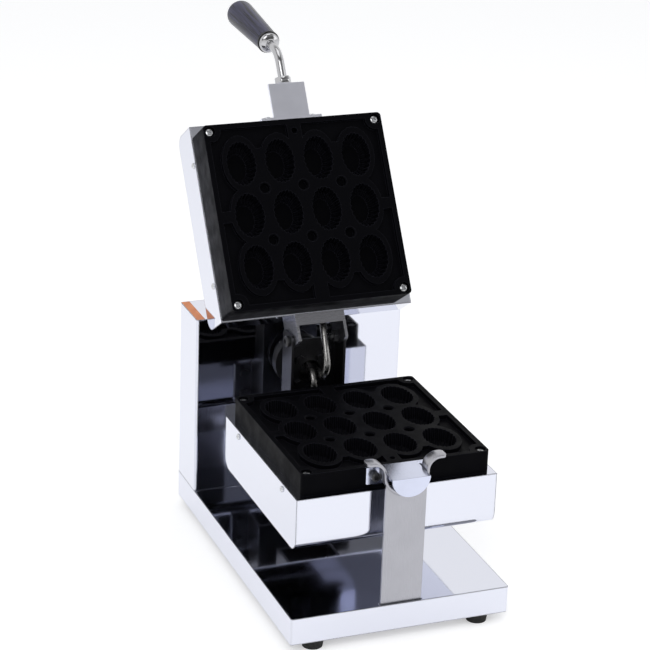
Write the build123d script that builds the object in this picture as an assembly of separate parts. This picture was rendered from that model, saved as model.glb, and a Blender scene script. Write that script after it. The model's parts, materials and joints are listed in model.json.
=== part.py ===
from build123d import *
import math
import os

# A counter-top electric iron that bakes twelve small oval cakes between two hinged plates.
# Both irons turn together on a hollow shaft at the back and rest in a cradle at the front.
# Sizes are in millimetres. The machine is drawn with x across, y back from the front edge of
# its base and z up from the floor, then moved in y so that the origin is under its middle.

# Base and column
BASE_W = 250.0
BASE_H = 30.5
COLUMN_D = 61.0
COLUMN_H = 212.5
SHELL_T = 1.5
COVER_T = 1.2
EDGE_LIP = 12.0
OUTER_BEND_R = 2.5
FOOT_D = 25.0
FOOT_H = 9.8
FOOT_INSET = 30.0

# The turning axis and the lid hinge
SPIN_Z = 192.0
HINGE_REACH = 25.0
HINGE_Z = 237.5
OPEN_ANGLE = 123.0
PARTING = 0.3

# Irons
HOUSING_W = 228.0
HOUSING_D = 226.0
HOUSING_T = 1.2
HOUSING_BEND_R = 14.0
LOWER_DEPTH = 60.5
UPPER_DEPTH = 48.5
SEAT_LIP = 22.0
PLATE_W = 213.5
PLATE_T = 25.0
PLATE_CORNER_R = 4.5
PLATE_SCREW = 99.0
RIM_W = 6.0
MOAT_DEPTH = 5.0

# Cavities
CUP_W = 34.0
CUP_L = 50.0
CUP_DEPTH = 19.5
CUP_PITCH_X = 45.8
CUP_PITCH_Y = 59.5
CUP_COLUMNS = 4
CUP_ROWS = 3
FLUTES = 24
FLUTE_DEPTH = 1.5
OVAL_W = 44.0
OVAL_L = 65.0

# Tongues, cradle and upright
TONGUE_T = 3.0
TONGUE_W = 43.0
TONGUE_FLANGE_W = 72.0
TONGUE_FLANGE_H = 19.5
LOWER_DISC_Y = -9.0
TONGUE_SCREW_X = 26.6
TONGUE_SCREW_DROP = 10.0
CRADLE_R = 22.5
CRADLE_T = 3.0
CRADLE_D = 15.0
HORN_R = 15.0
HORN_END = 7.0
HORN_CORNER = 4.0
CRADLE_GAP = 6.0
UPRIGHT_W = 46.3
UPRIGHT_T = 3.0
UPRIGHT_Y = 3.0
UPRIGHT_FOOT = 30.0

# Shaft, bearing and yoke
SHAFT_D = 30.0
SHAFT_BORE = 24.0
SHAFT_FIT = 0.05
BUSH_D = 36.0
BEARING_D = 46.0
BEARING_FLANGE_D = 62.0
YOKE_T = 3.0
YOKE_W = 65.4
YOKE_D = 43.0
BEARING_REACH = 31.0
YOKE_TOP = 246.0
YOKE_BOTTOM = 115.0
EAR_GAP = 0.3
CONDUIT_D = 8.5
GLAND_FIT = 0.7

# Handle
ROD_D = 10.0
ROD_RISE = 9.3
ROD_BEND_R = 28.0
ROD_BEND = 52.0
GRIP_D = 25.6
GRIP_END_D = 32.5
GRIP_L = 106.0
GRIP_ROUND = 11.0

# Heater
HEATER_D = 8.0
HEATER_PITCH = 50.0
HEATER_RUN = 62.0

# Places worked out from the sizes above, from the base's front edge to the back of the column
IRON_Y = UPRIGHT_Y + CRADLE_D + CRADLE_GAP + HOUSING_D / 2
HINGE_Y = IRON_Y + HOUSING_D / 2 + HINGE_REACH
YOKE_BACK_Y = IRON_Y + HOUSING_D / 2 + YOKE_D
COLUMN_Y = YOKE_BACK_Y + BEARING_REACH
BASE_D = COLUMN_Y + COLUMN_D
UNDER_Z = FOOT_H + COVER_T
DECK_Z = UNDER_Z + BASE_H
COLUMN_TOP = DECK_Z + COLUMN_H
PLATE_TOP = SPIN_Z - PARTING
SEAT_Z = PLATE_TOP - PLATE_T
PLATE_FRONT = IRON_Y - PLATE_W / 2
HOUSING_BACK = IRON_Y + HOUSING_D / 2
CONTROL_Y = COLUMN_Y + 35.0
EAR_X = YOKE_W / 2 - YOKE_T - EAR_GAP

THREAD_GAP = 0.1
UP = (0, 0, 1)
DOWN = (0, 0, -1)
BACK = (0, 1, 0)
FRONT = (0, -1, 0)
RIGHT = (1, 0, 0)
LEFT = (-1, 0, 0)


def block(x0, x1, y0, y1, z0, z1):
    centre = Pos((x0 + x1) / 2, (y0 + y1) / 2, (z0 + z1) / 2)
    return centre * Box(x1 - x0, y1 - y0, z1 - z0)


def round_bar(diameter, start, towards, length):
    return extrude(Plane(origin=start, z_dir=towards) * Circle(diameter / 2), length)


def tube(outer, inner, start, towards, length):
    return round_bar(outer, start, towards, length) - round_bar(inner, start, towards, length)


def group(pieces):
    return Compound(children=list(pieces))


def screw(place, towards, head_d, head_h, shank_d, shank_l):
    """A round-headed screw whose head stands on `place` and points along `towards`."""
    head = Cylinder(head_d / 2, head_h, align=(Align.CENTER, Align.CENTER, Align.MIN))
    head = chamfer(head.edges().group_by(Axis.Z)[-1], head_h * 0.35)
    shank = Cylinder(shank_d / 2, shank_l, align=(Align.CENTER, Align.CENTER, Align.MAX))
    return Plane(origin=place, z_dir=towards).location * (head + shank)


def hex_block(place, towards, across, height, turn=0.0):
    outline = RegularPolygon(across / 2, 6, major_radius=False, rotation=turn)
    return extrude(Plane(origin=place, z_dir=towards) * outline, height)


def hex_bolt(place, towards, across, head_h, shank_d, shank_l):
    """A hexagon bolt whose head stands on `place` and points along `towards`."""
    away = (-towards[0], -towards[1], -towards[2])
    return hex_block(place, towards, across, head_h) + round_bar(shank_d, place, away, shank_l)


def hex_nut(place, towards, across, height, thread_d):
    bore = round_bar(thread_d + THREAD_GAP, place, towards, height)
    return hex_block(place, towards, across, height) - bore


def moved_each(shape, change):
    return group(change(solid) for solid in shape.solids())


def opened(shape):
    """Swings a piece of the lid from the closed place in which it is drawn to the open one."""
    hinge = Axis((0, HINGE_Y, HINGE_Z), RIGHT)
    return moved_each(shape, lambda solid: solid.rotate(hinge, -OPEN_ANGLE))


def flipped(shape):
    """Mirrors a piece of the lower iron in the plane where the two irons meet."""
    meeting = Plane.XY.offset(SPIN_Z)
    return moved_each(shape, lambda solid: solid.mirror(meeting))


def lid(shape):
    return opened(flipped(shape))


# Base

FOOT_SPOTS = [
    (x, y) for x in (FOOT_INSET - BASE_W / 2, BASE_W / 2 - FOOT_INSET)
    for y in (FOOT_D / 2 + SHELL_T, BASE_D - FOOT_D / 2 - SHELL_T)
]
FOOT_SCREW_D = 5.0
FOOT_POCKET = 4.5
VENT_X = 45.0
VENT_L = 46.0
VENT_W = 4.0
VENT_PITCH = 14.0
VENT_ROWS = 7
COLUMN_BOLTS = [(x, y) for x in (-90.0, 90.0) for y in (COLUMN_Y + 9.0, BASE_D - 9.0)]
COLUMN_BOLT_D = 6.0
UPRIGHT_STUDS = [(x, UPRIGHT_Y + 19.0) for x in (-14.0, 14.0)]


def rounded_box(width, depth, y0, z0, z1, radius):
    return Pos(0, y0, z0) * extrude(Pos(0, depth / 2) * RectangleRounded(width, depth, radius), z1 - z0)


def base_tray():
    outer = rounded_box(BASE_W, BASE_D, 0, UNDER_Z, DECK_Z, OUTER_BEND_R)
    inner = rounded_box(BASE_W - 2 * SHELL_T, BASE_D - 2 * SHELL_T, SHELL_T, UNDER_Z + SHELL_T,
                        DECK_Z - SHELL_T, OUTER_BEND_R - SHELL_T)
    mouth = block(EDGE_LIP - BASE_W / 2, BASE_W / 2 - EDGE_LIP, EDGE_LIP, BASE_D - EDGE_LIP,
                  UNDER_Z, UNDER_Z + SHELL_T)
    tray = outer - inner - mouth
    for x, y in FOOT_SPOTS:
        pad = round_bar(FOOT_D - 2, (x, y, UNDER_Z), UP, SHELL_T)
        inside = block(-BASE_W / 2 + SHELL_T, BASE_W / 2 - SHELL_T, SHELL_T, BASE_D - SHELL_T,
                       UNDER_Z, DECK_Z)
        tray += pad & inside
        tray -= round_bar(FOOT_SCREW_D + 0.6, (x, y, UNDER_Z), UP, SHELL_T)
    for x, y in COLUMN_BOLTS:
        tray -= round_bar(COLUMN_BOLT_D + 0.6, (x, y, DECK_Z - SHELL_T), UP, SHELL_T)
    slot = block(-UPRIGHT_W / 2 - 0.6, UPRIGHT_W / 2 + 0.6, UPRIGHT_Y - 0.6,
                 UPRIGHT_Y + UPRIGHT_T + 0.6, DECK_Z - SHELL_T, DECK_Z)
    wire_way = block(-40, 40, COLUMN_Y + 20, COLUMN_Y + 42, DECK_Z - SHELL_T, DECK_Z)
    return tray - slot - wire_way


def bottom_plate():
    plate = rounded_box(BASE_W - 6, BASE_D - 6, 3, FOOT_H, UNDER_Z, OUTER_BEND_R)
    for row in (-1, 1):
        for step in range(VENT_ROWS):
            y = IRON_Y + VENT_PITCH * (step - 0.5)
            plate -= Pos(row * VENT_X, y, FOOT_H) * extrude(SlotOverall(VENT_L, VENT_W), COVER_T)
    for x, y in FOOT_SPOTS:
        plate -= round_bar(FOOT_SCREW_D + 0.6, (x, y, FOOT_H), UP, COVER_T)
    return plate


def feet():
    pieces = []
    for x, y in FOOT_SPOTS:
        foot = Pos(x, y, FOOT_H / 2) * Cone(FOOT_D / 2 - 1.5, FOOT_D / 2, FOOT_H)
        foot -= round_bar(FOOT_SCREW_D + 6.4, (x, y, 0), UP, FOOT_POCKET)
        foot -= round_bar(FOOT_SCREW_D + 0.2, (x, y, 0), UP, FOOT_H)
        pieces.append(foot)
    return group(pieces)


def foot_screws():
    """Screws up through the feet, each with its nut above the tray's lip."""
    shank = FOOT_H - FOOT_POCKET + COVER_T + SHELL_T + 5.0
    pieces = []
    for x, y in FOOT_SPOTS:
        pieces.append(screw((x, y, FOOT_POCKET), DOWN, FOOT_SCREW_D + 5, 3.0, FOOT_SCREW_D, shank))
        pieces.append(hex_nut((x, y, UNDER_Z + SHELL_T), UP, 8.0, 4.0, FOOT_SCREW_D))
    return group(pieces)


# Column

COVER_SCREWS = [(x, z) for x in (-BASE_W / 2 + 8, BASE_W / 2 - 8)
                for z in (DECK_Z + 20, DECK_Z + COLUMN_H / 2, COLUMN_TOP - 20)]
BEARING_SCREWS = [(26.9 * math.cos(math.radians(a)), 26.9 * math.sin(math.radians(a)))
                  for a in (45, 135, 225, 315)]
BACKING_T = 4.0
BACKING_W = 120.0
BACKING_H = 90.0
THERMOSTAT_X = -58.0
TIMER_X = 0.0
ROCKER_X = 48.0
LAMP_X = 76.0
SPINDLE_D = 6.0
INLET_X = 45.0 - BASE_W / 2
INLET_Z = 82.0
ROCKER_W = 12.0
ROCKER_L = 23.6
SWITCH_W = 15.4
SWITCH_L = 29.4
LAMP_D = 10.0
ROCKER_TILT = 10.0
TERMINALS = 6
TERMINAL_PITCH = 9.0
TERMINAL_RAIL_H = 6.0
TERMINAL_H = 20.0


def column_shell():
    outer = rounded_box(BASE_W, COLUMN_D - COVER_T, COLUMN_Y, DECK_Z, COLUMN_TOP, OUTER_BEND_R)
    inner = block(-BASE_W / 2 + SHELL_T, BASE_W / 2 - SHELL_T, COLUMN_Y + SHELL_T,
                  BASE_D - COVER_T - SHELL_T, DECK_Z + SHELL_T, COLUMN_TOP - SHELL_T)
    back_window = block(EDGE_LIP + 2 - BASE_W / 2, BASE_W / 2 - EDGE_LIP - 2,
                        BASE_D - COVER_T - SHELL_T, BASE_D - COVER_T,
                        DECK_Z + EDGE_LIP + 4, COLUMN_TOP - EDGE_LIP)
    floor_window = block(EDGE_LIP - BASE_W / 2, BASE_W / 2 - EDGE_LIP, COLUMN_Y + 17,
                         BASE_D - COVER_T - 17, DECK_Z, DECK_Z + SHELL_T)
    shell = outer - inner - back_window - floor_window
    shell -= round_bar(BEARING_D + 0.4, (0, COLUMN_Y, SPIN_Z), BACK, SHELL_T)
    for x, z in BEARING_SCREWS:
        shell -= round_bar(4.4, (x, COLUMN_Y, SPIN_Z + z), BACK, SHELL_T)
    for x, y in COLUMN_BOLTS:
        shell -= round_bar(COLUMN_BOLT_D + 0.6, (x, y, DECK_Z), UP, SHELL_T)
    for x, z in COVER_SCREWS:
        shell -= round_bar(4.0, (x, BASE_D - COVER_T, z), FRONT, SHELL_T)
    for x, size in ((THERMOSTAT_X, SPINDLE_D + 4), (TIMER_X, SPINDLE_D + 4), (LAMP_X, LAMP_D + 0.4)):
        shell -= round_bar(size, (x, CONTROL_Y, COLUMN_TOP - SHELL_T), UP, SHELL_T)
    shell -= block(ROCKER_X - SWITCH_W / 2, ROCKER_X + SWITCH_W / 2, CONTROL_Y - SWITCH_L / 2,
                   CONTROL_Y + SWITCH_L / 2, COLUMN_TOP - SHELL_T, COLUMN_TOP)
    return shell


def column_bolts():
    pieces = []
    for x, y in COLUMN_BOLTS:
        pieces.append(hex_bolt((x, y, DECK_Z - SHELL_T), DOWN, 10.0, 4.0, COLUMN_BOLT_D, 11.0))
        pieces.append(hex_nut((x, y, DECK_Z + SHELL_T), UP, 10.0, 5.0, COLUMN_BOLT_D))
    return group(pieces)


def back_cover():
    cover = block(-BASE_W / 2 + 1, BASE_W / 2 - 1, BASE_D - COVER_T, BASE_D, DECK_Z + 1, COLUMN_TOP - 1)
    for x, z in COVER_SCREWS:
        cover -= round_bar(4.4, (x, BASE_D, z), FRONT, COVER_T)
    cover -= round_bar(16.2, (INLET_X, BASE_D, INLET_Z), FRONT, COVER_T)
    for step in range(6):
        place = Plane(origin=(30, BASE_D, COLUMN_TOP - 84 + 9 * step), x_dir=RIGHT, z_dir=FRONT)
        cover -= extrude(place * SlotOverall(70, 3.5), COVER_T)
    return cover


def back_cover_screws():
    return group(screw((x, BASE_D, z), BACK, 7.5, 2.2, 4.0, 8.0) for x, z in COVER_SCREWS)


def cord_gland():
    nut = hex_block((INLET_X, BASE_D, INLET_Z), BACK, 20.0, 5.0)
    dome = Plane(origin=(INLET_X, BASE_D + 5, INLET_Z), z_dir=BACK).location * Cone(
        9.0, 6.5, 9.0, align=(Align.CENTER, Align.CENTER, Align.MIN))
    thread = round_bar(16.0, (INLET_X, BASE_D, INLET_Z), FRONT, COVER_T + 9)
    lock = hex_block((INLET_X, BASE_D - COVER_T, INLET_Z), FRONT, 20.0, 4.0)
    bore = round_bar(8.5, (INLET_X, BASE_D + 20, INLET_Z), FRONT, 40)
    return nut + dome + thread + lock - bore


def thermostat_body():
    box = block(THERMOSTAT_X - 19, THERMOSTAT_X + 19, CONTROL_Y - 19, CONTROL_Y + 19,
                COLUMN_TOP - SHELL_T - 26, COLUMN_TOP - SHELL_T)
    return box + round_bar(SPINDLE_D, (THERMOSTAT_X, CONTROL_Y, COLUMN_TOP - SHELL_T), UP, 14)


def timer_body():
    box = round_bar(40, (TIMER_X, CONTROL_Y, COLUMN_TOP - SHELL_T - 30), UP, 30)
    return box + round_bar(SPINDLE_D, (TIMER_X, CONTROL_Y, COLUMN_TOP - SHELL_T), UP, 14)


def knob(x):
    """A pointer knob: a thin skirt, a round grip and a bar across its top."""
    foot = COLUMN_TOP + 1.0
    skirt = round_bar(34, (x, CONTROL_Y, foot), UP, 3)
    grip = round_bar(25, (x, CONTROL_Y, foot + 3), UP, 12)
    bar = block(x - 3.2, x + 3.2, CONTROL_Y - 15.5, CONTROL_Y + 12, foot + 3, foot + 16)
    bar = fillet(bar.edges().filter_by(Axis.Z), 2.0)
    bore = round_bar(SPINDLE_D + 0.12, (x, CONTROL_Y, foot), UP, 12.2)
    return skirt + grip + bar - bore


def rocker_housing():
    top = COLUMN_TOP + 2.0
    bezel = block(ROCKER_X - SWITCH_W / 2 - 2, ROCKER_X + SWITCH_W / 2 + 2,
                  CONTROL_Y - SWITCH_L / 2 - 2, CONTROL_Y + SWITCH_L / 2 + 2, COLUMN_TOP, top)
    body = block(ROCKER_X - SWITCH_W / 2 + 0.2, ROCKER_X + SWITCH_W / 2 - 0.2,
                 CONTROL_Y - SWITCH_L / 2 + 0.2, CONTROL_Y + SWITCH_L / 2 - 0.2,
                 COLUMN_TOP - 20, COLUMN_TOP)
    pocket = block(ROCKER_X - ROCKER_W / 2 - 0.3, ROCKER_X + ROCKER_W / 2 + 0.3,
                   CONTROL_Y - ROCKER_L / 2 - 1.4, CONTROL_Y + ROCKER_L / 2 + 1.4,
                   COLUMN_TOP - 15, top)
    axle = round_bar(3.2, (ROCKER_X - SWITCH_W / 2 - 2, CONTROL_Y, COLUMN_TOP), RIGHT, SWITCH_W + 4)
    return bezel + body - pocket - axle


def rocker():
    """Drawn level, with its ends raised, then tipped to its off side."""
    half = ROCKER_L / 2
    rise = half * math.tan(math.radians(ROCKER_TILT))
    low = half * 0.8
    outline = Polyline((-half, 3 + rise), (0, 3), (half, 3 + rise), (half, 0), (low, -6), (-low, -6),
                       (-half, 0), close=True)
    face = Plane.YZ * make_face(outline)
    body = Pos(ROCKER_X - ROCKER_W / 2, CONTROL_Y, COLUMN_TOP) * extrude(face, ROCKER_W)
    axle = round_bar(3.0, (ROCKER_X - ROCKER_W / 2 - 1.2, CONTROL_Y, COLUMN_TOP), RIGHT, ROCKER_W + 2.4)
    return (body + axle).rotate(Axis((0, CONTROL_Y, COLUMN_TOP), RIGHT), -ROCKER_TILT)


def pilot_lamp():
    lens = round_bar(14, (LAMP_X, CONTROL_Y, COLUMN_TOP), UP, 3)
    lens = fillet(lens.edges().group_by(Axis.Z)[-1], 2.0)
    return lens + round_bar(LAMP_D, (LAMP_X, CONTROL_Y, COLUMN_TOP), DOWN, 24)


def terminal_block():
    """A rail with a row of wire clamps, at the foot of the column."""
    floor = DECK_Z + SHELL_T
    x = BASE_W / 2 - 53.0
    y = BASE_D - 27.0
    rail = block(x - 32, x + 32, y - 13, y + 13, floor, floor + TERMINAL_RAIL_H)
    top = floor + TERMINAL_RAIL_H + TERMINAL_H
    blocks = block(x - 28, x + 28, y - 9, y + 9, floor + TERMINAL_RAIL_H, top)
    for step in range(TERMINALS):
        spot = x + TERMINAL_PITCH * (step - (TERMINALS - 1) / 2)
        blocks -= round_bar(5, (spot, y, top), DOWN, 12)
    return rail + blocks


def backing_plate():
    y0 = COLUMN_Y + SHELL_T
    plate = block(-BACKING_W / 2, BACKING_W / 2, y0, y0 + BACKING_T, SPIN_Z - BACKING_H / 2,
                  SPIN_Z + BACKING_H / 2)
    plate -= round_bar(BEARING_D + 0.4, (0, y0, SPIN_Z), BACK, BACKING_T)
    for x, z in BEARING_SCREWS:
        plate -= round_bar(4.0, (x, y0, SPIN_Z + z), BACK, BACKING_T)
    return plate


# Bearing and shaft

BEARING_FLANGE_T = 6.0
SHAFT_FLANGE_D = 56.0
SHAFT_FLANGE_T = 6.0
BEARING_FRONT = YOKE_BACK_Y + SHAFT_FLANGE_T + 0.4
BEARING_BACK = COLUMN_Y + 17.0
COLLAR_W = 10.0
SHAFT_END = COLUMN_Y + 36.0
YOKE_BOLTS = [(x, z) for x in (-13.0, 13.0) for z in (-15.0, 15.0)]


def bearing_housing():
    boss = round_bar(BEARING_D, (0, BEARING_FRONT, SPIN_Z), BACK, BEARING_BACK - BEARING_FRONT)
    flange = round_bar(BEARING_FLANGE_D, (0, COLUMN_Y, SPIN_Z), FRONT, BEARING_FLANGE_T)
    body = boss + flange
    body -= round_bar(BUSH_D + 0.04, (0, BEARING_FRONT, SPIN_Z), BACK, BEARING_BACK - BEARING_FRONT)
    for x, z in BEARING_SCREWS:
        body -= round_bar(4.4, (x, COLUMN_Y, SPIN_Z + z), FRONT, BEARING_FLANGE_T)
    return body


def bearing_bush():
    return tube(BUSH_D, SHAFT_D + 2 * SHAFT_FIT, (0, BEARING_FRONT, SPIN_Z), BACK,
                BEARING_BACK - BEARING_FRONT)


def bearing_screws():
    y0 = COLUMN_Y - BEARING_FLANGE_T
    length = BEARING_FLANGE_T + SHELL_T + BACKING_T
    return group(screw((x, y0, SPIN_Z + z), FRONT, 6.8, 3.0, 4.0, length) for x, z in BEARING_SCREWS)


def spin_shaft():
    flange = round_bar(SHAFT_FLANGE_D, (0, YOKE_BACK_Y, SPIN_Z), BACK, SHAFT_FLANGE_T)
    shaft = flange + round_bar(SHAFT_D, (0, YOKE_BACK_Y, SPIN_Z), BACK, SHAFT_END - YOKE_BACK_Y)
    shaft -= round_bar(SHAFT_BORE, (0, YOKE_BACK_Y, SPIN_Z), BACK, SHAFT_END - YOKE_BACK_Y)
    for x, z in YOKE_BOLTS:
        shaft -= round_bar(6.0, (x, YOKE_BACK_Y, SPIN_Z + z), BACK, SHAFT_FLANGE_T)
    return shaft


def shaft_collar():
    """A ring that keeps the shaft from sliding forward, with its grub screw."""
    y0 = BEARING_BACK + 0.3
    collar = tube(42.0, SHAFT_D + 0.02, (0, y0, SPIN_Z), BACK, COLLAR_W)
    grub_place = (0, y0 + COLLAR_W / 2, SPIN_Z + SHAFT_D / 2)
    collar -= round_bar(5.0, grub_place, UP, 10)
    return group([collar, round_bar(5.0, grub_place, UP, 5.0)])


# Yoke, which joins the lower iron, the shaft and the lid hinge

ARM_FRONT = HINGE_Y - 11.0
YOKE_FOOT_W = 20.0
YOKE_FOOT_TOP = SEAT_Z - 4.0
IRON_BOLTS = [(side * (YOKE_W / 2 + 9.0), z) for side in (-1, 1)
              for z in (YOKE_BOTTOM + 11, YOKE_FOOT_TOP - 11)]
IRON_BOLT_D = 6.0
PIVOT_D = 8.0
PIVOT_FIT = 0.08
BACK_PLATE_TOP = HINGE_Z - 6.5


def yoke():
    arm_outline = Polyline((ARM_FRONT, YOKE_TOP), (YOKE_BACK_Y, YOKE_TOP), (YOKE_BACK_Y, YOKE_BOTTOM),
                           (HOUSING_BACK, YOKE_BOTTOM), (HOUSING_BACK, YOKE_FOOT_TOP),
                           (ARM_FRONT, YOKE_FOOT_TOP + 12), close=True)
    arm_face = make_face(arm_outline)
    top_corners = arm_face.vertices().group_by(Axis.Y)[-1]
    arm = extrude(Plane.YZ * fillet(top_corners, 5.0), YOKE_T)
    body = block(-YOKE_W / 2, YOKE_W / 2, YOKE_BACK_Y - YOKE_T, YOKE_BACK_Y, YOKE_BOTTOM, BACK_PLATE_TOP)
    for side in (-1, 1):
        inner_x = YOKE_W / 2 - YOKE_T
        start = inner_x if side > 0 else -YOKE_W / 2
        body += Pos(start, 0, 0) * arm
        outer = side * (YOKE_W / 2 + YOKE_FOOT_W)
        near = side * inner_x
        body += block(min(near, outer), max(near, outer), HOUSING_BACK, HOUSING_BACK + YOKE_T,
                      YOKE_BOTTOM, YOKE_FOOT_TOP)
    body -= round_bar(PIVOT_D + 0.1, (-YOKE_W, HINGE_Y, HINGE_Z), RIGHT, 2 * YOKE_W)
    body -= round_bar(SHAFT_BORE + 1, (0, YOKE_BACK_Y, SPIN_Z), FRONT, YOKE_T)
    for x, z in YOKE_BOLTS:
        body -= round_bar(6.4, (x, YOKE_BACK_Y, SPIN_Z + z), FRONT, YOKE_T)
    for x, z in IRON_BOLTS:
        body -= round_bar(IRON_BOLT_D + 0.4, (x, HOUSING_BACK, z), BACK, YOKE_T)
    return body


def yoke_bolts():
    y0 = YOKE_BACK_Y - YOKE_T
    return group(hex_bolt((x, y0, SPIN_Z + z), FRONT, 10.0, 4.0, 6.0, YOKE_T + SHAFT_FLANGE_T)
                 for x, z in YOKE_BOLTS)


def iron_bolts():
    """Bolts through the yoke's feet into nuts behind the lower housing's wall."""
    pieces = []
    for x, z in IRON_BOLTS:
        pieces.append(hex_bolt((x, HOUSING_BACK + YOKE_T, z), BACK, 10.0, 4.0, IRON_BOLT_D, 11.0))
        pieces.append(hex_nut((x, HOUSING_BACK - HOUSING_T, z), FRONT, 10.0, 5.0, IRON_BOLT_D))
    return group(pieces)


def pivot_bolts():
    """Button-headed shoulder bolts on which the ears of the lid turn, each with its nut."""
    pieces = []
    inner = EAR_X - YOKE_T - EAR_GAP
    for side, towards, inward in ((-1, LEFT, RIGHT), (1, RIGHT, LEFT)):
        face = (side * YOKE_W / 2, HINGE_Y, HINGE_Z)
        bolt = screw(face, towards, 13.0, 4.4, PIVOT_D, 15.5)
        socket = hex_block((side * (YOKE_W / 2 + 2.0), HINGE_Y, HINGE_Z), towards, 5.0, 4.0)
        pieces.append(bolt - socket)
        pieces.append(hex_nut((side * inner, HINGE_Y, HINGE_Z), inward, 13.0, 5.5, PIVOT_D))
    return group(pieces)


# Irons: housing, mould plate, heater and lagging. The lower one is drawn and the lid mirrors it.

SIDE_SCREWS = [(side, y) for side in (-1, 1) for y in (IRON_Y - 69.5, IRON_Y + 69.5)]
SIDE_SCREW_DROP = 6.5
CLAMP_T = 2.0
CLAMP_SCREWS = [(x, IRON_Y) for x in (-CUP_PITCH_X, CUP_PITCH_X)]
LAGGING_HALF = 84.0
LOWER_GLAND = (-2.6, 146.0)
UPPER_GLAND = (12.0, 2 * SPIN_Z - HINGE_Z + 0.5)
GLAND_THREAD_D = 12.0
BRACKET_SCREWS = [(x, z) for x in (-21.0, 21.0) for z in (HINGE_Z - 12.5, HINGE_Z + 9.5)]
PLATE_SCREW_HEAD = 3.6
COUNTERBORE = 5.5
HEATER_Z = SEAT_Z - HEATER_D / 2


def trough(width, depth, top, height, radius):
    """A box with its two lower cross edges rounded, centred on the iron."""
    outline = Rectangle(depth, height, align=(Align.CENTER, Align.MAX))
    outline = fillet(outline.vertices().group_by(Axis.Y)[0], radius)
    profile = Plane.YZ * (Pos(IRON_Y, top) * outline)
    return Pos(-width / 2, 0, 0) * extrude(profile, width)


def housing(depth, gland, wall_holes, hole_d):
    outer = trough(HOUSING_W, HOUSING_D, SEAT_Z, depth, HOUSING_BEND_R)
    inner = trough(HOUSING_W - 2 * HOUSING_T, HOUSING_D - 2 * HOUSING_T, SEAT_Z - HOUSING_T,
                   depth - 2 * HOUSING_T, HOUSING_BEND_R - HOUSING_T)
    window_x = HOUSING_W / 2 - SEAT_LIP
    window_y = HOUSING_D / 2 - SEAT_LIP
    body = outer - inner - block(-window_x, window_x, IRON_Y - window_y, IRON_Y + window_y,
                                 SEAT_Z - HOUSING_T, SEAT_Z)
    for x in (-PLATE_SCREW, PLATE_SCREW):
        for y in (-PLATE_SCREW, PLATE_SCREW):
            body -= round_bar(5.6, (x, IRON_Y + y, SEAT_Z), DOWN, HOUSING_T)
    for side, y in SIDE_SCREWS:
        body -= round_bar(4.4, (side * HOUSING_W / 2, y, SEAT_Z - SIDE_SCREW_DROP), (-side, 0, 0), HOUSING_T)
    for x, z in wall_holes:
        body -= round_bar(hole_d, (x, HOUSING_BACK, z), FRONT, HOUSING_T)
    body -= round_bar(GLAND_THREAD_D + 0.2, (gland[0], HOUSING_BACK, gland[1]), FRONT, HOUSING_T)
    return body


def mirrored_z(spots):
    """Heights on the closed lid, seen in the mirror plane between the irons."""
    return [(x, 2 * SPIN_Z - z) for x, z in spots]


def oval_ring(scale, z):
    """The wavy edge of a cavity: one ridge and one hollow for each flute."""
    ring = []
    for step in range(2 * FLUTES):
        angle = math.pi * step / FLUTES
        wave = FLUTE_DEPTH / 2 if step % 2 else -FLUTE_DEPTH / 2
        across = scale * (CUP_W / 2 + wave)
        along = scale * (CUP_L / 2 + wave)
        ring.append(Vector(across * math.cos(angle), along * math.sin(angle), z))
    return ring


def cup():
    """The space of one fluted cavity, from its mouth down to a smaller floor."""
    rings = [oval_ring(1.0, 0), oval_ring(0.89, -0.7 * CUP_DEPTH), oval_ring(0.64, -CUP_DEPTH)]
    faces = [Face(Wire.make_polygon(rings[0])), Face(Wire.make_polygon(rings[-1]))]
    for upper, lower in zip(rings, rings[1:]):
        for i in range(len(upper)):
            j = (i + 1) % len(upper)
            faces.append(Face(Wire.make_polygon([upper[i], upper[j], lower[j], lower[i]])))
    return Solid(Shell(faces))


def cup_spots():
    spots = []
    for column in range(CUP_COLUMNS):
        for row in range(CUP_ROWS):
            spots.append(((column - (CUP_COLUMNS - 1) / 2) * CUP_PITCH_X,
                          (row - (CUP_ROWS - 1) / 2) * CUP_PITCH_Y))
    return spots


def island():
    """The raised field round the cavities: their outer ovals with the gaps filled."""
    fill_x = (CUP_COLUMNS - 1) / 2 * CUP_PITCH_X + 8.0
    fill_y = (CUP_ROWS - 1) / 2 * CUP_PITCH_Y + 16.5
    field = Rectangle(2 * fill_x, 2 * fill_y)
    for spot in cup_spots():
        field += Pos(*spot) * Ellipse(OVAL_W / 2, OVAL_L / 2)
    return field


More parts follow.
